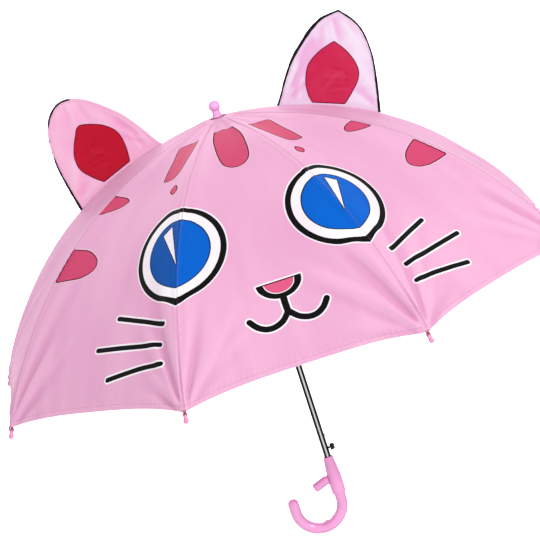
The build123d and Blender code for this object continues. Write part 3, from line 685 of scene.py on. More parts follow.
def triangulate(border, loose, chains, rings):
    """Triangles inside border, with edges along every chain and ring."""
    points, edges = [], []

    def add(line_, closed):
        first = len(points)
        points.extend(line_)
        n = len(line_)
        edges.extend((first + i, first + (i + 1) % n) for i in range(n if closed else n - 1))

    add([tuple(q) for q in border], True)
    for c in chains:
        add([tuple(q) for q in c], False)
    for c in rings:
        add([tuple(q) for q in c], True)
    fixed = np.array(points)
    keep = np.ones(len(loose), bool)
    order = np.argsort(fixed[:, 1])
    fixed_sorted = fixed[order]
    lo = np.searchsorted(fixed_sorted[:, 1], loose[:, 1] - 0.75)
    hi = np.searchsorted(fixed_sorted[:, 1], loose[:, 1] + 0.75)
    for n, (p, a, b) in enumerate(zip(loose, lo, hi)):
        if b > a and (np.sum((fixed_sorted[a:b] - p) ** 2, 1) < 0.55**2).any():
            keep[n] = False
    points.extend(tuple(q) for q in loose[keep])
    out = delaunay_2d_cdt([Vector((float(q[0]), float(q[1]))) for q in points], edges, [], 0, 1e-5)
    v = np.array([tuple(q) for q in out[0]])
    t = np.array([f for f in out[2] if len(f) == 3], int)
    middle = v[t].mean(1)
    t = t[inside(middle, np.array(border))]
    e1, e2 = v[t[:, 1]] - v[t[:, 0]], v[t[:, 2]] - v[t[:, 0]]
    size = e1[:, 0] * e2[:, 1] - e1[:, 1] * e2[:, 0]
    t = t[np.abs(size) > 1e-7]
    size = size[np.abs(size) > 1e-7]
    t[size < 0] = t[size < 0][:, ::-1]
    used = np.unique(t)
    remap = np.full(len(v), -1)
    remap[used] = np.arange(len(used))
    return v[used], remap[t]


def rim_of(t):
    """Directed edges that only one triangle has."""
    e = np.concatenate([t[:, [0, 1]], t[:, [1, 2]], t[:, [2, 0]]])
    seen = {}
    for a, b in e:
        seen[(int(a), int(b))] = True
    return [(a, b) for a, b in seen if (b, a) not in seen]


def object_from(name, verts, faces, mats, smooth_faces=True):
    me = bpy.data.meshes.new(name)
    me.from_pydata(verts, [], faces)
    me.update()
    if smooth_faces:
        me.shade_smooth()
    for m in mats:
        me.materials.append(m)
    o = bpy.data.objects.new(name, me)
    scene.collection.objects.link(o)
    return o


def colour_corners(me, per_face):
    """One colour for each face, given to all its corners, so that printed edges are sharp."""
    counts = np.zeros(len(me.polygons), int)
    me.polygons.foreach_get("loop_total", counts)
    col = np.ones((len(me.loops), 4))
    col[:, :3] = np.repeat(np.asarray(per_face)[:, :3], counts, 0)
    a = me.color_attributes.new("print", "FLOAT_COLOR", "CORNER")
    a.data.foreach_set("color", col.ravel())


def flat_uv(me, per_vertex):
    """The cloth's own flat metres."""
    idx = np.zeros(len(me.loops), int)
    me.loops.foreach_get("vertex_index", idx)
    layer = me.uv_layers.new(name="cloth")
    layer.data.foreach_set("uv", (np.asarray(per_vertex)[idx]).ravel())


def two_sided(name, top, bottom, t, top_n, colours, under, uv, mats, fold=None):
    """Closed thin sheet from its two faces. Normals are the surface's own, so that neighbouring sheets shade as one."""
    n = len(top)
    rim = rim_of(t)
    faces = [tuple(int(q) for q in f) for f in t] + [tuple(int(q) + n for q in f[::-1]) for f in t] + [(b, a, a + n, b + n) for a, b in rim]
    verts = np.concatenate([top, bottom]) * MM
    o = object_from(name, verts.tolist(), faces, mats)
    me = o.data
    rim_colour = np.tile(under.mean(0), (len(rim), 1)) if len(rim) else np.zeros((0, 3))
    colour_corners(me, np.concatenate([colours, under, rim_colour]))
    flat_uv(me, np.concatenate([uv, uv]) * MM)
    lay = me.attributes.new("fold", "FLOAT", "POINT")
    lay.data.foreach_set("value", np.concatenate([fold, -fold]) if fold is not None else np.zeros(2 * n))
    idx = np.zeros(len(me.loops), int)
    me.loops.foreach_get("vertex_index", idx)
    vn = np.concatenate([top_n, -top_n])
    ln = vn[idx]
    first = 3 * 2 * len(t)
    if len(rim):
        fn = np.zeros(len(me.polygons) * 3)
        me.polygons.foreach_get("normal", fn)
        fn = fn.reshape(-1, 3)
        ln[first:] = np.repeat(fn[2 * len(t):], 4, 0)
    me.normals_split_custom_set(ln.tolist())
    return o


def columns():
    c = [0.7, 1.4, 2.1, 2.8, 3.6, 4.6, 5.8, 7.2, 8.8, 10.8, 13.2, 16.0]
    while c[-1] < 150:
        c.append(c[-1] + 3.8)
    return c


GORE_OF = {1: 1, 2: 2, 3: 3, 4: 4, 5: 5, 6: -2, 7: -1, 8: 0}


def panel_mesh(number):
    at = GORE_OF[number]
    # border: round the shaft, down the middle of one gore, along the hem, up the middle of the other
    sides = np.concatenate([np.arange(START, 20, 2.0), np.arange(20, 440, 3.8), [441.5, 443.5, 445.3, 446.5]])
    hem_s = CORNER - SCALLOP
    sides = np.append(sides[sides < hem_s - 0.5], hem_s)
    right = [(0.5 * float(width(np.array(s))), s) for s in sides]
    steps = np.concatenate([np.linspace(0.5, 0.06, 38)[1:], np.linspace(0.06, 0.0, 9)[1:]])
    hem_right = [(float(d * width(hem_at(np.array(d)))), float(hem_at(np.array(d)))) for d in steps]
    half = right + hem_right
    border = np.array([(x, s) for x, s in half] + [(-x, s) for x, s in reversed(half[:-1])])
    seam = np.array([(0.0, s) for s in np.concatenate([np.arange(START + 1.5, 20, 1.5), np.arange(20, CORNER - 0.8, 1.9)])])
    rows = np.concatenate([np.arange(START + 1.5, 20, 1.6), np.arange(20, CORNER, 1.9)])
    loose = []
    for n, s in enumerate(rows):
        w = float(width(np.array(s))) / 2
        for m, x in enumerate(columns()):
            if x > w - 0.9:
                break
            if (x > 12 or s < 16) and n % 2:
                continue
            up = float(hem_at(np.array(x / (2 * w)))) - s
            if up < 11.5 and x > 3:
                continue
            if up < 0.8:
                continue
            loose += [(x, s), (-x, s)]
    for h in (1.3, 3.4, 5.0, 5.7, 6.2, 6.8, 7.4, 8.0, 9.2, 11.0):
        for d in np.concatenate([np.arange(0.014, 0.06, 0.0065), np.arange(0.06, 0.494, 0.0085)]):
            s = float(hem_at(np.array(d))) - h
            x = d * float(width(np.array(s)))
            if x > 3:
                loose += [(x, s), (-x, s)]
    loose = np.array(loose)
    rings, colours = [], []
    for outline, colour in PRINTS:
        if outline[:, 0].max() < at - 0.5 or outline[:, 0].min() > at + 0.5:
            continue
        rings.append(gore_to_flat(outline, at))
        colours.append(colour)
    v, t = triangulate(border, loose, [seam], rings)
    g = at + v[:, 0] / width(v[:, 1])
    g = np.clip(g, at - 0.5, at + 0.5)
    s = v[:, 1]
    middle = v[t].mean(1)
    paint_of = np.tile(np.array(PINK), (len(t), 1))
    for ring, colour in zip(rings, colours):
        paint_of[inside(middle, ring)] = colour
    under = 0.42 * paint_of + 0.58 * np.array(PINK) * 0.94
    inner_g = at + np.clip((g - at), -0.5, 0.5)
    top = surface(inner_g, s)
    top_n = normals(g, s)
    # the lower face runs a hair past the middle of the gore, so that no light comes through the join
    under_g = at + (g - at) * (1 + 0.0016 * smooth((np.abs(g - at) - 0.497) / 0.003))
    bottom = surface(under_g, s) - outward(under_g, s) * THICK
    # the mesh's flat plane has +x towards higher azimuth and +y down the rib, so its triangles turn inwards
    t = t[:, ::-1]
    # the cloth's fine relief, stored as fold, sets the painted shade in the troughs of its folds
    fine = relief(inner_g, s, whole=False)
    return two_sided(f"canopy_{number}", top, bottom, t, top_n, paint_of, under, np.stack([v[:, 0], s], -1), [CLOTH], fold=fine)


def squashed(o):
    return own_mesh(o)


def tube(points, radius, sides=6, closed=False, cap=True):
    """Vertices and faces of a round bar that follows the points."""
    p = np.array(points, float)
    n = len(p)
    t = (np.roll(p, -1, 0) - np.roll(p, 1, 0)) if closed else np.gradient(p, axis=0)
    t /= np.maximum(np.linalg.norm(t, axis=1, keepdims=True), 1e-12)
    ref = np.array([0.0, 0.0, 1.0]) if abs(t[0][2]) < 0.9 else np.array([1.0, 0.0, 0.0])
    u = np.cross(t[0], ref)
    u /= np.linalg.norm(u)
    verts, faces = [], []
    r = np.broadcast_to(radius, (n,))
    for i in range(n):
        u = u - t[i] * np.dot(u, t[i])
        u /= np.linalg.norm(u)
        w = np.cross(t[i], u)
        for k in range(sides):
            a = 2 * math.pi * k / sides
            verts.append(p[i] + r[i] * (math.cos(a) * u + math.sin(a) * w))
    for i in range(n if closed else n - 1):
        for k in range(sides):
            a, b = i * sides + k, i * sides + (k + 1) % sides
            c, d = ((i + 1) % n) * sides + (k + 1) % sides, ((i + 1) % n) * sides + k
            faces.append((a, b, c, d))
    if not closed and cap:
        faces.append(tuple(reversed(range(sides))))
        faces.append(tuple((n - 1) * sides + k for k in range(sides)))
    return verts, faces


def gather(parts):
    verts, faces = [], []
    for v, f in parts:
        k = len(verts)
        verts.extend(v)
        faces.extend(tuple(q + k for q in x) for x in f)
    return verts, faces


def stitch(a, b, lift_dir, radius=0.17):
    """One stitch: a short thread that dives into the cloth at both ends."""
    a, b, up = np.array(a), np.array(b), np.array(lift_dir)
    ts = (0.0, 0.12, 0.35, 0.65, 0.88, 1.0)
    rise = (-0.22, 0.03, 0.12, 0.12, 0.03, -0.22)
    pts = [a + (b - a) * t + up * h for t, h in zip(ts, rise)]
    return tube(pts, radius, sides=5)


def stitch_row(gs, ss, gap=0.30, pitch=3.0):
    """Stitches along a line given in gore coordinates."""
    pts = surface(np.array(gs), np.array(ss))
    up = normals(np.array(gs), np.array(ss))
    d = np.concatenate([[0], np.cumsum(np.linalg.norm(np.diff(pts, axis=0), axis=1))])
    out = []
    at = 0.4
    while at + pitch * (1 - gap) < d[-1]:
        q = [np.array([np.interp(at + w * pitch * (1 - gap), d, pts[:, c]) for c in range(3)]) for w in (0, 1)]
        n = np.array([np.interp(at, d, up[:, c]) for c in range(3)])
        out.append(stitch(q[0], q[1], n))
        at += pitch
    return out


def finish_piece(o, body, number=None):
    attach(o, body)
    if number is not None:
        squashed(o)
    return o


for number in range(1, 9):
    at = GORE_OF[number]
    sheet = panel_mesh(number)
    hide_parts(f"canopy_panel_{number}")
    # sewing: a row beside the seam, and the hem's row
    ss = np.arange(9.0, CORNER - 3, 1.5)
    v, f = gather(stitch_row(at + 2.0 / width(ss), ss))
    seam_thread = object_from(f"seam_stitches_{number}", (np.array(v) * MM).tolist(), f, [SEAM_THREAD])
    ds = np.linspace(-0.497, 0.497, 260)
    v, f = gather(stitch_row(at + ds, hem_at(ds) - (HEM - 1.3)))
    thread = object_from(f"hem_stitches_{number}", (np.array(v) * MM).tolist(), f, [THREAD])
    # the corner is sewn to the tip through its hole
    a = azimuth(at)
    slope = SLOPE_OUT
    er, et = np.array([math.sin(a), -math.cos(a), 0.0]), np.array([math.cos(a), math.sin(a), 0.0])
    down = er * math.cos(slope) + np.array([0, 0, -math.sin(slope)])
    out_dir = er * math.sin(slope) + np.array([0, 0, math.cos(slope)])
    r_end = BEND_R + RHO * math.sin(slope)
    z_end = BEND_Z + RHO * math.cos(slope)
    tip = er * r_end + np.array([0, 0, z_end])
    loops = []
    for n, (back, tilt, size) in enumerate(((6.3, 0.22, 2.74), (5.5, -0.18, 2.78), (4.7, 0.15, 2.74), (7.0, -0.30, 2.70))):
        ring = []
        for k in range(20):
            q = 2 * math.pi * k / 20
            ring.append(tip - down * (back + tilt * 3 * math.cos(q)) + out_dir * (size * math.sin(q) - 0.2) + et * size * math.cos(q))
        loops.append(tube(ring, 0.26, sides=6, closed=True))
    for n, q in enumerate((-1.7, -0.5, 0.7, 1.9)):
        bar = [tip - down * (4.8 + 0.3 * n) + out_dir * 2.5 + et * q * 0.8, tip - down * 7.6 + out_dir * 2.95 + et * q, tip - down * 9.6 + out_dir * (2.75 - 0.1 * abs(q)) + et * q * 1.25, tip - down * 10.6 + out_dir * (2.2 - 0.2 * abs(q)) + et * q * 1.35]
        loops.append(tube(bar, 0.24, sides=6))
    v, f = gather(loops)
    lashing = object_from(f"corner_thread_{number}", (np.array(v) * MM).tolist(), f, [THREAD_DARK])
    finish_piece(sheet, f"rib_set_{number}", at)
    finish_piece(thread, f"rib_set_{number}", at)
    finish_piece(seam_thread, f"rib_set_{number}", at)
    finish_piece(lashing, f"rib_set_{number}")
    flat_area = float(np.mean(width(np.linspace(START, CORNER - SCALLOP * 0.75, 400)))) * (CORNER - SCALLOP * 0.75 - START) * 1e-6
    float(width(np.array(CORNER))) * MM

# ------------------------------------------------------------------ ears
EAR = [(79.0, -10.5), (88.0, 1.0), (97.0, 14.0), (115.0, 36.0), (134.0, 51.5), (152.0, 63.5), (168.0, 70.2), (182.0, 71.5), (195.5, 68.0), (208.0, 57.0), (216.0, 43.0), (220.0, 25.0), (220.5, 4.0), (218.0, -17.0), (213.5, -40.0), (208.0, -64.0)]
PATCH = {
    "right": ([(176.5, 37.5), (187.0, 23.5), (194.0, 8.0), (195.5, -6.0), (190.5, -17.5), (178.5, -28.0), (165.5, -37.5), (125.0, -21.0), (123.2, -10.0), (125.2, 4.5), (131.5, 17.6), (141.0, 26.5), (157.5, 33.5)], (0, 6, 7)),
    "left": ([(175.0, 36.0), (154.5, 33.0), (140.0, 26.8), (130.0, 16.5), (125.8, -1.0), (126.5, -20.0), (166.5, -36.5), (180.5, -26.5), (190.5, -16.0), (193.0, -1.0), (190.0, 11.5), (183.5, 25.0)], (5, 6)),
}
# painted light: the two patches are one crimson cloth; the right one is painted paler and pinker as if lit, the left
# one deeper as if in shade
PATCH_COLOUR_BY_LIGHT = {"right": srgb("c12b50"), "left": srgb("bd1730")}


def on_canopy(r):
    """Height of the cloth's outer face over the rib, at radius r."""
    s = np.linspace(0, 330, 700)
    rr, zz, _ = line(s)
    return np.interp(r, rr, zz)


def ear_outline(side):
    shape = list(EAR)
    if side == "right":  # this ear comes to a slight point
        k = shape.index((195.5, 68.0))
        shape[k - 1 : k + 1] = [(181.0, 71.3), (195.0, 71.6)]
        p = spline(shape, closed=False, step=2.0, corners=(k,))
    else:
        p = spline(shape, closed=False, step=2.0)
    p = p + np.array([0.0, PIVOT_Z])
    # both ends go on down into the seam
    a, b = p[0], p[-1]
    p = np.concatenate([[a + (a - p[2]) * 0.8], p, [b + (b - p[-3]) * 1.2]])
    top = p[:, 1] > on_canopy(p[:, 0]) - 0.2
    p = p[top]
    r = np.linspace(p[-1, 0], p[0, 0], 46)[1:-1]
    foot = np.stack([r, on_canopy(r) - 0.25], -1)
    return p, foot


def ear_relief(side, p, edge):
    """Folds of the ear's cloth, in millimetres out of its plane; flat at the bound edge and in the seam."""
    r, z = p[:, 0], p[:, 1] - PIVOT_Z
    seed = 3 if side == "right" else 8
    d = 0.9 * noise(r / 26.0, z / 30.0, seed) + 0.35 * noise((r + z) / 11.0, (r - z) / 17.0, seed + 1)
    for (cr, cz, lean, reach, tall, broad) in (
        (92, 2, 40, 70, 1.1, 3.4), (98, -8, 22, 60, -0.9, 3.0), (106, -18, 64, 48, 0.7, 2.6),
        (212, -50, 108, 80, 1.2, 3.2), (206, -56, 124, 70, -1.0, 3.2), (198, -58, 142, 60, 0.8, 3.0), (104, 0, 47, 95, -1.5, 5.0), (182, -22, 162, 40, -1.2, 1.5), (184, -12, 156, 44, 1.3, 1.7), (180, -2, 148, 34, -1.3, 1.5), (140, -16, 28, 40, 0.9, 1.8),
        (181, 66, -98, 44, 0.9, 3.0), (170, 64, -116, 46, -0.7, 3.0), (196, 60, -78, 50, 0.7, 3.0),
        (150, -10, 18, 46, 0.6, 2.2), (146, 4, -32, 50, 0.6, 2.0), (176, -22, 80, 40, -0.6, 2.2)):
        if side == "left":
            lean, cz = lean + 6, cz + 3
        q = math.radians(lean)
        along = (r - cr) * math.cos(q) + (z - cz) * math.sin(q)
        off = -(r - cr) * math.sin(q) + (z - cz) * math.cos(q)
        b = broad + 0.05 * np.maximum(along, 0)
        d = d + tall * (np.exp(-((off / b) ** 2)) - 0.5 * np.exp(-(((off - 1.8 * b) / b) ** 2))) * smooth(along / 8) * (1 - smooth((along - 0.4 * reach) / (0.6 * reach)))
    ripple = 0.18 * np.exp(-edge / 5.0) * np.sin(edge * 0.4 + (r * 0.9 + z * 0.55)) * smooth(edge / 1.5)
    return 0.75 * d * smooth((edge - 0.5) / 9.0) + ripple


for side, number in (("right", 3), ("left", 6)):
    a = azimuth(GORE_OF[number])
    er, et = np.array([math.sin(a), -math.cos(a), 0.0]), np.array([math.cos(a), math.sin(a), 0.0])
    face = -et if side == "right" else et  # towards the front of the umbrella
    if face[1] > 0:
        face = -face
    arch, foot = ear_outline(side)
    border = np.concatenate([arch, foot])
    lo, hi = border.min(0), border.max(0)
    gr, gz = np.meshgrid(np.arange(lo[0], hi[0], 2.1), np.arange(lo[1], hi[1], 2.1))
    loose = np.stack([gr.ravel() + 0.02 * np.sin(gz.ravel()), gz.ravel()], -1)
    loose = loose[inside(loose, border)]
    # distance to the border, to thin the sheet there
    gap = np.sqrt(((loose[:, None, :] - border[None, ::2, :]) ** 2).sum(-1)).min(1)
    loose = loose[gap > 0.9]
    outline, corners = PATCH[side]
    patch = spline([(r, z + PIVOT_Z) for r, z in outline], corners=corners, step=1.2)
    patch_rim = grown(patch, 1.15)
    v, t = triangulate(border, loose, [], [patch, patch_rim])
    edge = np.sqrt(((v[:, None, :] - border[None, :, :]) ** 2).sum(-1)).min(1)

    def sheet_at(p, e):
        return ear_relief(side, p, e)

    d = sheet_at(v, edge)
    body = 0.32 + 0.30 * smooth(edge / 8.0)
    in_patch = inside(v, patch)
    lift = np.where(in_patch, 0.10, 0.0)
    pos = er[None, :] * v[:, :1] + np.array([0, 0, 1.0])[None, :] * v[:, 1:2]
    front = pos + face * (d + body + lift)[:, None]
    back = pos + face * (d - body)[:, None]
    # shading normals from the folds
    def edge_of(q):
        return np.sqrt(((q[:, None, :] - border[None, ::2, :]) ** 2).sum(-1)).min(1)

    grad = []
    for shift in ((0.4, 0.0), (0.0, 0.4)):
        pa, pb = v + shift, v - np.array(shift)
        ha = sheet_at(pa, edge_of(pa)) + 0.30 * smooth(edge_of(pa) / 8.0)
        hb = sheet_at(pb, edge_of(pb)) + 0.30 * smooth(edge_of(pb) / 8.0)
        grad.append((ha - hb) / 0.8)
    n = face[None, :] - er[None, :] * grad[0][:, None] - np.array([0, 0, 1.0])[None, :] * grad[1][:, None]
    n /= np.linalg.norm(n, axis=1, keepdims=True)
    tri = t
    e1, e2 = front[tri[:, 1]] - front[tri[:, 0]], front[tri[:, 2]] - front[tri[:, 0]]
    if np.median(np.cross(e1, e2) @ face) < 0:
        tri = tri[:, ::-1]
    middle = v[tri].mean(1)
    # the right ear takes the paler, lit copy of the cloth colour and the left ear takes the shaded copy
    colours = np.tile(np.array(EAR_PINK_BY_LIGHT[side]), (len(tri), 1))
    colours[inside(middle, patch_rim)] = WINE
    colours[inside(middle, patch)] = PATCH_COLOUR_BY_LIGHT[side]
    under = np.tile(np.array(EAR_PINK_BY_LIGHT[side]) * 0.97, (len(tri), 1))
    # the folds' heights, stored as fold, set the painted shade in their troughs, stronger on the right ear
    ear = two_sided(f"ear_flap_{side}", front, back, tri, n, colours, under, v - np.array([150.0, PIVOT_Z]), [EAR_CLOTH], fold=(1.5 if side == "right" else 0.75) * d)
    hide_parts(f"ear_{side}")
    # bound edge: a folded tape, a little uneven, that runs down into the seam
    run = np.concatenate([[arch[0] + (arch[0] - arch[1]) * 0.5], arch, [arch[-1] + (arch[-1] - arch[-2]) * 0.5]])
    tan = np.gradient(run, axis=0)
    tan /= np.linalg.norm(tan, axis=1, keepdims=True)
    inward = np.stack([tan[:, 1], -tan[:, 0]], -1)
    dist = np.concatenate([[0], np.cumsum(np.linalg.norm(np.diff(run, axis=0), axis=1))])
    where = dist / dist[-1]
    # half width of the tape, and how far it is rolled to the back of the ear, along the edge
    if side == "right":
        wide = np.interp(where, (0, 0.12, 0.20, 0.30, 0.38, 0.46, 0.60, 0.76, 0.86, 1.0), (1.1, 1.2, 1.7, 2.2, 2.2, 1.3, 1.25, 1.15, 1.7, 2.0))
        rolled = np.zeros(len(where))
    else:
        wide = np.interp(where, (0, 0.40, 0.50, 0.60, 0.70, 0.84, 1.0), (0.9, 0.9, 1.35, 1.25, 0.95, 1.35, 1.9))
        rolled = np.interp(where, (0, 0.02, 0.42, 0.47, 0.58, 0.64, 0.74, 0.80, 1.0), (0.6, 1.0, 1.0, 0.0, 0.05, 0.75, 0.6, 0.0, 0.0))
    c = run + inward * (wide - 0.85 + rolled * 1.5)[:, None]
    verts, faces = [], []
    ring = 14
    for i in range(len(c)):
        swell = 1 + 0.07 * math.sin(i * 0.9) + 0.06 * math.sin(i * 0.37 + 1)
        deep = 1.22 - 0.45 * rolled[i]
        for k in range(ring):
            q = 2 * math.pi * k / ring
            u, w = math.cos(q), math.sin(q)
            # rounded box section, flatter on the two cloth sides
            flat = abs(w) ** 0.7 * (1 if w > 0 else -1)
            off2 = c[i] + inward[i] * (wide[i] * u * swell)
            verts.append(er * off2[0] + np.array([0, 0, off2[1]]) + face * (deep * flat * swell - 0.95 * rolled[i]))
    for i in range(len(c) - 1):
        for k in range(ring):
            faces.append((i * ring + k, i * ring + (k + 1) % ring, (i + 1) * ring + (k + 1) % ring, (i + 1) * ring + k))
    faces.append(tuple(reversed(range(ring))))
    faces.append(tuple((len(c) - 1) * ring + k for k in range(ring)))
    binding = object_from(f"ear_binding_{side}", (np.array(verts) * MM).tolist(), faces, [BINDING])
    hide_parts(f"ear_piping_{side}")
    # stitches that hold the tape and the patch
    rows, patch_rows = [], []
    for path, kept in ((run + inward * 3.1, rows), (patch_rim, patch_rows)):
        q = np.array(path)
        h = sheet_at(q, edge_of(q)) + 0.32 + 0.30 * smooth(edge_of(q) / 8.0)
        p3 = er[None, :] * q[:, :1] + np.array([0, 0, 1.0])[None, :] * q[:, 1:2] + face * h[:, None]
        dd = np.concatenate([[0], np.cumsum(np.linalg.norm(np.diff(p3, axis=0), axis=1))])
        at_ = 0.5
        while at_ + 2.1 < dd[-1]:
            ends = [np.array([np.interp(at_ + w, dd, p3[:, c_]) for c_ in range(3)]) for w in (0, 2.1)]
            kept.append(stitch(ends[0], ends[1], face))
            at_ += 3.0
    vv, ff = gather(rows)
    ear_thread = object_from(f"ear_stitches_{side}", (np.array(vv) * MM).tolist(), ff, [THREAD])
    vv, ff = gather(patch_rows)
    patch_thread = object_from(f"patch_stitches_{side}", (np.array(vv) * MM).tolist(), ff, [PATCH_THREAD])
    for o, s in ((ear, "ear_fabric"), (binding, "ear_piping"), (ear_thread, "ear_fabric"), (patch_thread, "ear_fabric")):
        finish_piece(o, f"rib_set_{number}")
    size = border.max(0) - border.min(0)

# ------------------------------------------------------------------ tie strap and rosette
number = 4
a = azimuth(GORE_OF[number])


def strap_point(x, s, lift):
    g = GORE_OF[number] + x / width(s)
    lay = surface(g, s) * 0.35 + base(g, s) * 0.65
    return lay + outward(g, s) * np.asarray(lift)[..., None]


S0, S1, HALF = 292.0, 433.0, 7.6
ss = np.linspace(S0, S1, 96)
xs = np.linspace(-1, 1, 23)
top, bottom, uvs = [], [], []
for s in ss:
    end = S1 - s
    half = HALF if end > HALF else math.sqrt(max(HALF**2 - (HALF - end) ** 2, 0.04))
    for x in xs:
        xx = x * half
        wave = 0.35 * math.sin((s - S0) / 21.0) * smooth(np.array((s - S0) / 20.0)) + 0.5 * smooth(np.array((s - 400) / 33.0))
        edge = 0.30 * (1 - smooth(np.array((half - abs(xx)) / 1.2)))
        groove = -0.10 * math.exp(-(((half - abs(xx) - 1.6) / 0.35) ** 2))
        for lst, lift in ((top, 0.85 + 0.62 + wave + groove - edge), (bottom, 0.85 + wave)):
            lst.append(strap_point(np.array(xx), np.array(s), np.array(float(lift))))
        uvs.append((xx, s))
top, bottom = np.array(top), np.array(bottom)
n, m = len(ss), len(xs)
t = []
for i in range(n - 1):
    for j in range(m - 1):
        a0, b0, c0, d0 = i * m + j, i * m + j + 1, (i + 1) * m + j + 1, (i + 1) * m + j
        t += [(a0, d0, c0), (a0, c0, b0)]
t = np.array(t)
e1, e2 = top[t[:, 1]] - top[t[:, 0]], top[t[:, 2]] - top[t[:, 0]]
up = outward(np.full(len(t), float(GORE_OF[number])), np.full(len(t), 360.0))
if np.median(np.sum(np.cross(e1, e2) * up, 1)) < 0:
    t = t[:, ::-1]
fn = np.cross(top[t[:, 1]] - top[t[:, 0]], top[t[:, 2]] - top[t[:, 0]])
vn = np.zeros_like(top)
for c in range(3):
    np.add.at(vn, t[:, c], fn)
vn /= np.maximum(np.linalg.norm(vn, axis=1, keepdims=True), 1e-12)
pink = np.tile(np.array(PINK), (len(t), 1))
strap = two_sided("strap_band", top, bottom, t, vn, pink, pink * 0.96, np.array(uvs), [CLOTH])
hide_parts("tie_strap")
rows = []
for sd in (-1, 1):
    s_ = np.arange(S0 + 2, S1 - HALF, 1.5)
    pts = np.array([strap_point(np.array(sd * (HALF - 1.6)), np.array(q), np.array(1.47 + 0.35 * math.sin((q - S0) / 21.0) + 0.5 * float(smooth(np.array((q - 400) / 33.0))) - 0.06)) for q in s_])
    ups = outward(np.full(len(s_), float(GORE_OF[number])), s_)
    for i in range(0, len(s_) - 2, 2):
        rows.append(stitch(pts[i], pts[i] + (pts[i + 1] - pts[i]) * 1.4, ups[i]))
# two crossed rows where the strap is sewn down
for k in range(5):
    for sgn in (-1, 1):
        pa = strap_point(np.array(-5.0 * sgn + 2.0 * k * sgn), np.array(S0 + 2 + 2.2 * k), np.array(1.45))
        pb = strap_point(np.array(-5.0 * sgn + 2.0 * (k + 0.8) * sgn), np.array(S0 + 2 + 2.2 * (k + 0.8)), np.array(1.45))
        rows.append(stitch(pa, pb, outward(np.array(float(GORE_OF[number])), np.array(S0))))
vv, ff = gather(rows)
strap_thread = object_from("strap_stitches", (np.array(vv) * MM).tolist(), ff, [THREAD])


def turned(profile, centre, axis, segments=36):
    """Ring of faces from a profile of (radius, height) about an axis."""
    axis = np.array(axis, float)
    axis /= np.linalg.norm(axis)
    ref = np.array([0, 0, 1.0]) if abs(axis[2]) < 0.9 else np.array([1.0, 0, 0])
    u = np.cross(axis, ref)
    u /= np.linalg.norm(u)
    w = np.cross(axis, u)
    verts, faces = [], []
    for r, h in profile:
        for k in range(segments):
            q = 2 * math.pi * k / segments
            verts.append(np.array(centre) + axis * h + r * (math.cos(q) * u + math.sin(q) * w))
    for i in range(len(profile) - 1):
        for k in range(segments):
            faces.append((i * segments + k, i * segments + (k + 1) % segments, (i + 1) * segments + (k + 1) % segments, (i + 1) * segments + k))
    faces.append(tuple(reversed(range(segments))))
    faces.append(tuple((len(profile) - 1) * segments + k for k in range(segments)))
    return verts, faces


snap_s = S1 - 8.0
snap_at = strap_point(np.array(0.0), np.array(snap_s), np.array(1.47 + 0.35 * math.sin((snap_s - S0) / 21.0) + 0.5 * float(smooth(np.array((snap_s - 400) / 33.0)))))
snap_up = outward(np.array(float(GORE_OF[number])), np.array(snap_s))
v, f = turned([(3.4, -0.2), (3.6, 0.1), (3.55, 0.45), (3.2, 0.75), (2.4, 0.95), (1.9, 0.8), (1.5, 0.72), (0.7, 0.76), (0.1, 0.78)], snap_at, snap_up)
snap = object_from("strap_snap", (np.array(v) * MM).tolist(), f, [BRIGHT])
for o in (strap, strap_thread, snap):
    finish_piece(o, "rib_set_4")

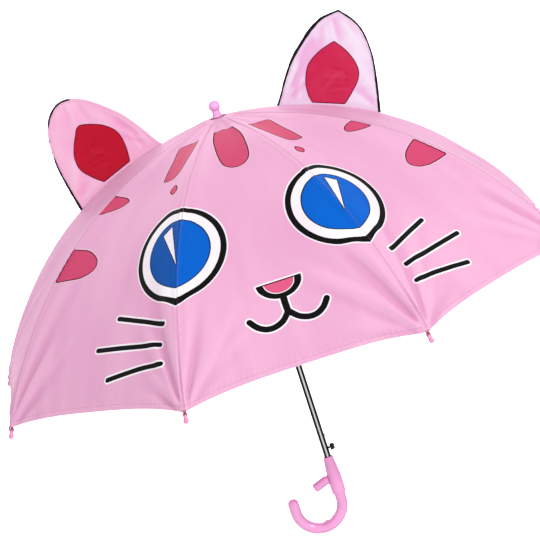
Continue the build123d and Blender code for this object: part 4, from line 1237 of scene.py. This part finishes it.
# rosette between the crown and the canopy: a pinked disc of the same cloth
segs, radii = 96, np.linspace(4.3, 11.8, 9)
top, bottom, uvs, t = [], [], [], []
for i, r in enumerate(radii):
    for k in range(segs):
        q = 2 * math.pi * k / segs
        rr = r + (0.35 if i == len(radii) - 1 else 0.0) * math.cos(24 * q)
        z = PIVOT_Z + 3.0 - 0.05 + 0.06 * math.sin(5 * q) * (i / 8.0)
        top.append((rr * math.cos(q), rr * math.sin(q), z))
        bottom.append((rr * math.cos(q), rr * math.sin(q), z - 0.35))
        uvs.append((rr * math.cos(q), rr * math.sin(q)))
for i in range(len(radii) - 1):
    for k in range(segs):
        a0, b0 = i * segs + k, i * segs + (k + 1) % segs
        c0, d0 = b0 + segs, a0 + segs
        t += [(a0, d0, c0), (a0, c0, b0)]
t = np.array(t)
top, bottom = np.array(top), np.array(bottom)
e1, e2 = top[t[:, 1]] - top[t[:, 0]], top[t[:, 2]] - top[t[:, 0]]
if np.median(np.cross(e1, e2)[:, 2]) < 0:
    t = t[:, ::-1]
up = np.tile(np.array([0, 0, 1.0]), (len(top), 1))
pink = np.tile(np.array(PINK), (len(t), 1))
disc = two_sided("rosette_disc", top, bottom, t, up, pink, pink * 0.96, np.array(uvs), [CLOTH])
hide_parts("rosette")
finish_piece(disc, "shaft_set")

# thread gathered round the foot of the ferrule
rows = []
for k in range(22):
    q = 2 * math.pi * (k + 0.3 * math.sin(k * 2.3)) / 22
    r0 = 6.9 + 0.5 * math.sin(k * 1.9)
    p = [np.array([(r0 + dr) * math.cos(q + dq), (r0 + dr) * math.sin(q + dq), PIVOT_Z + dz]) for dr, dq, dz in ((0.0, 0.0, 4.35), (0.7, 0.05, 4.95), (1.9, 0.11, 4.85), (2.9, 0.15, 4.3))]
    rows.append(tube(p, 0.27, sides=6))
v, f = gather(rows)
gathers = object_from("ferrule_thread", (np.array(v) * MM).tolist(), f, [THREAD_DARK])
finish_piece(gathers, "shaft_set")

# ------------------------------------------------------------------ floor
floor_z = -1.15
half = 60.0
me = bpy.data.meshes.new("floor")
me.from_pydata([(-half, -half, floor_z), (half, -half, floor_z), (half, half, floor_z), (-half, half, floor_z)], [], [(0, 1, 2, 3)])
floor = bpy.data.objects.new("floor", me)
scene.collection.objects.link(floor)
m, nodes, links, bsdf = material("floor_paint")
where = nodes.new("ShaderNodeTexCoord")
soft = node(nodes, "ShaderNodeTexNoise", Scale=0.4, Detail=2.0)
links.new(where.outputs["Object"], soft.inputs["Vector"])
ramp = nodes.new("ShaderNodeValToRGB")
links.new(soft.outputs[0], ramp.inputs[0])
ramp.color_ramp.elements[0].color = (0.93, 0.93, 0.935, 1)
ramp.color_ramp.elements[1].color = (0.96, 0.96, 0.96, 1)
links.new(ramp.outputs[0], bsdf.inputs["Base Color"])
bsdf.inputs["Roughness"].default_value = 0.9
bsdf.inputs["Specular IOR Level"].default_value = 0.1
me.materials.append(m)
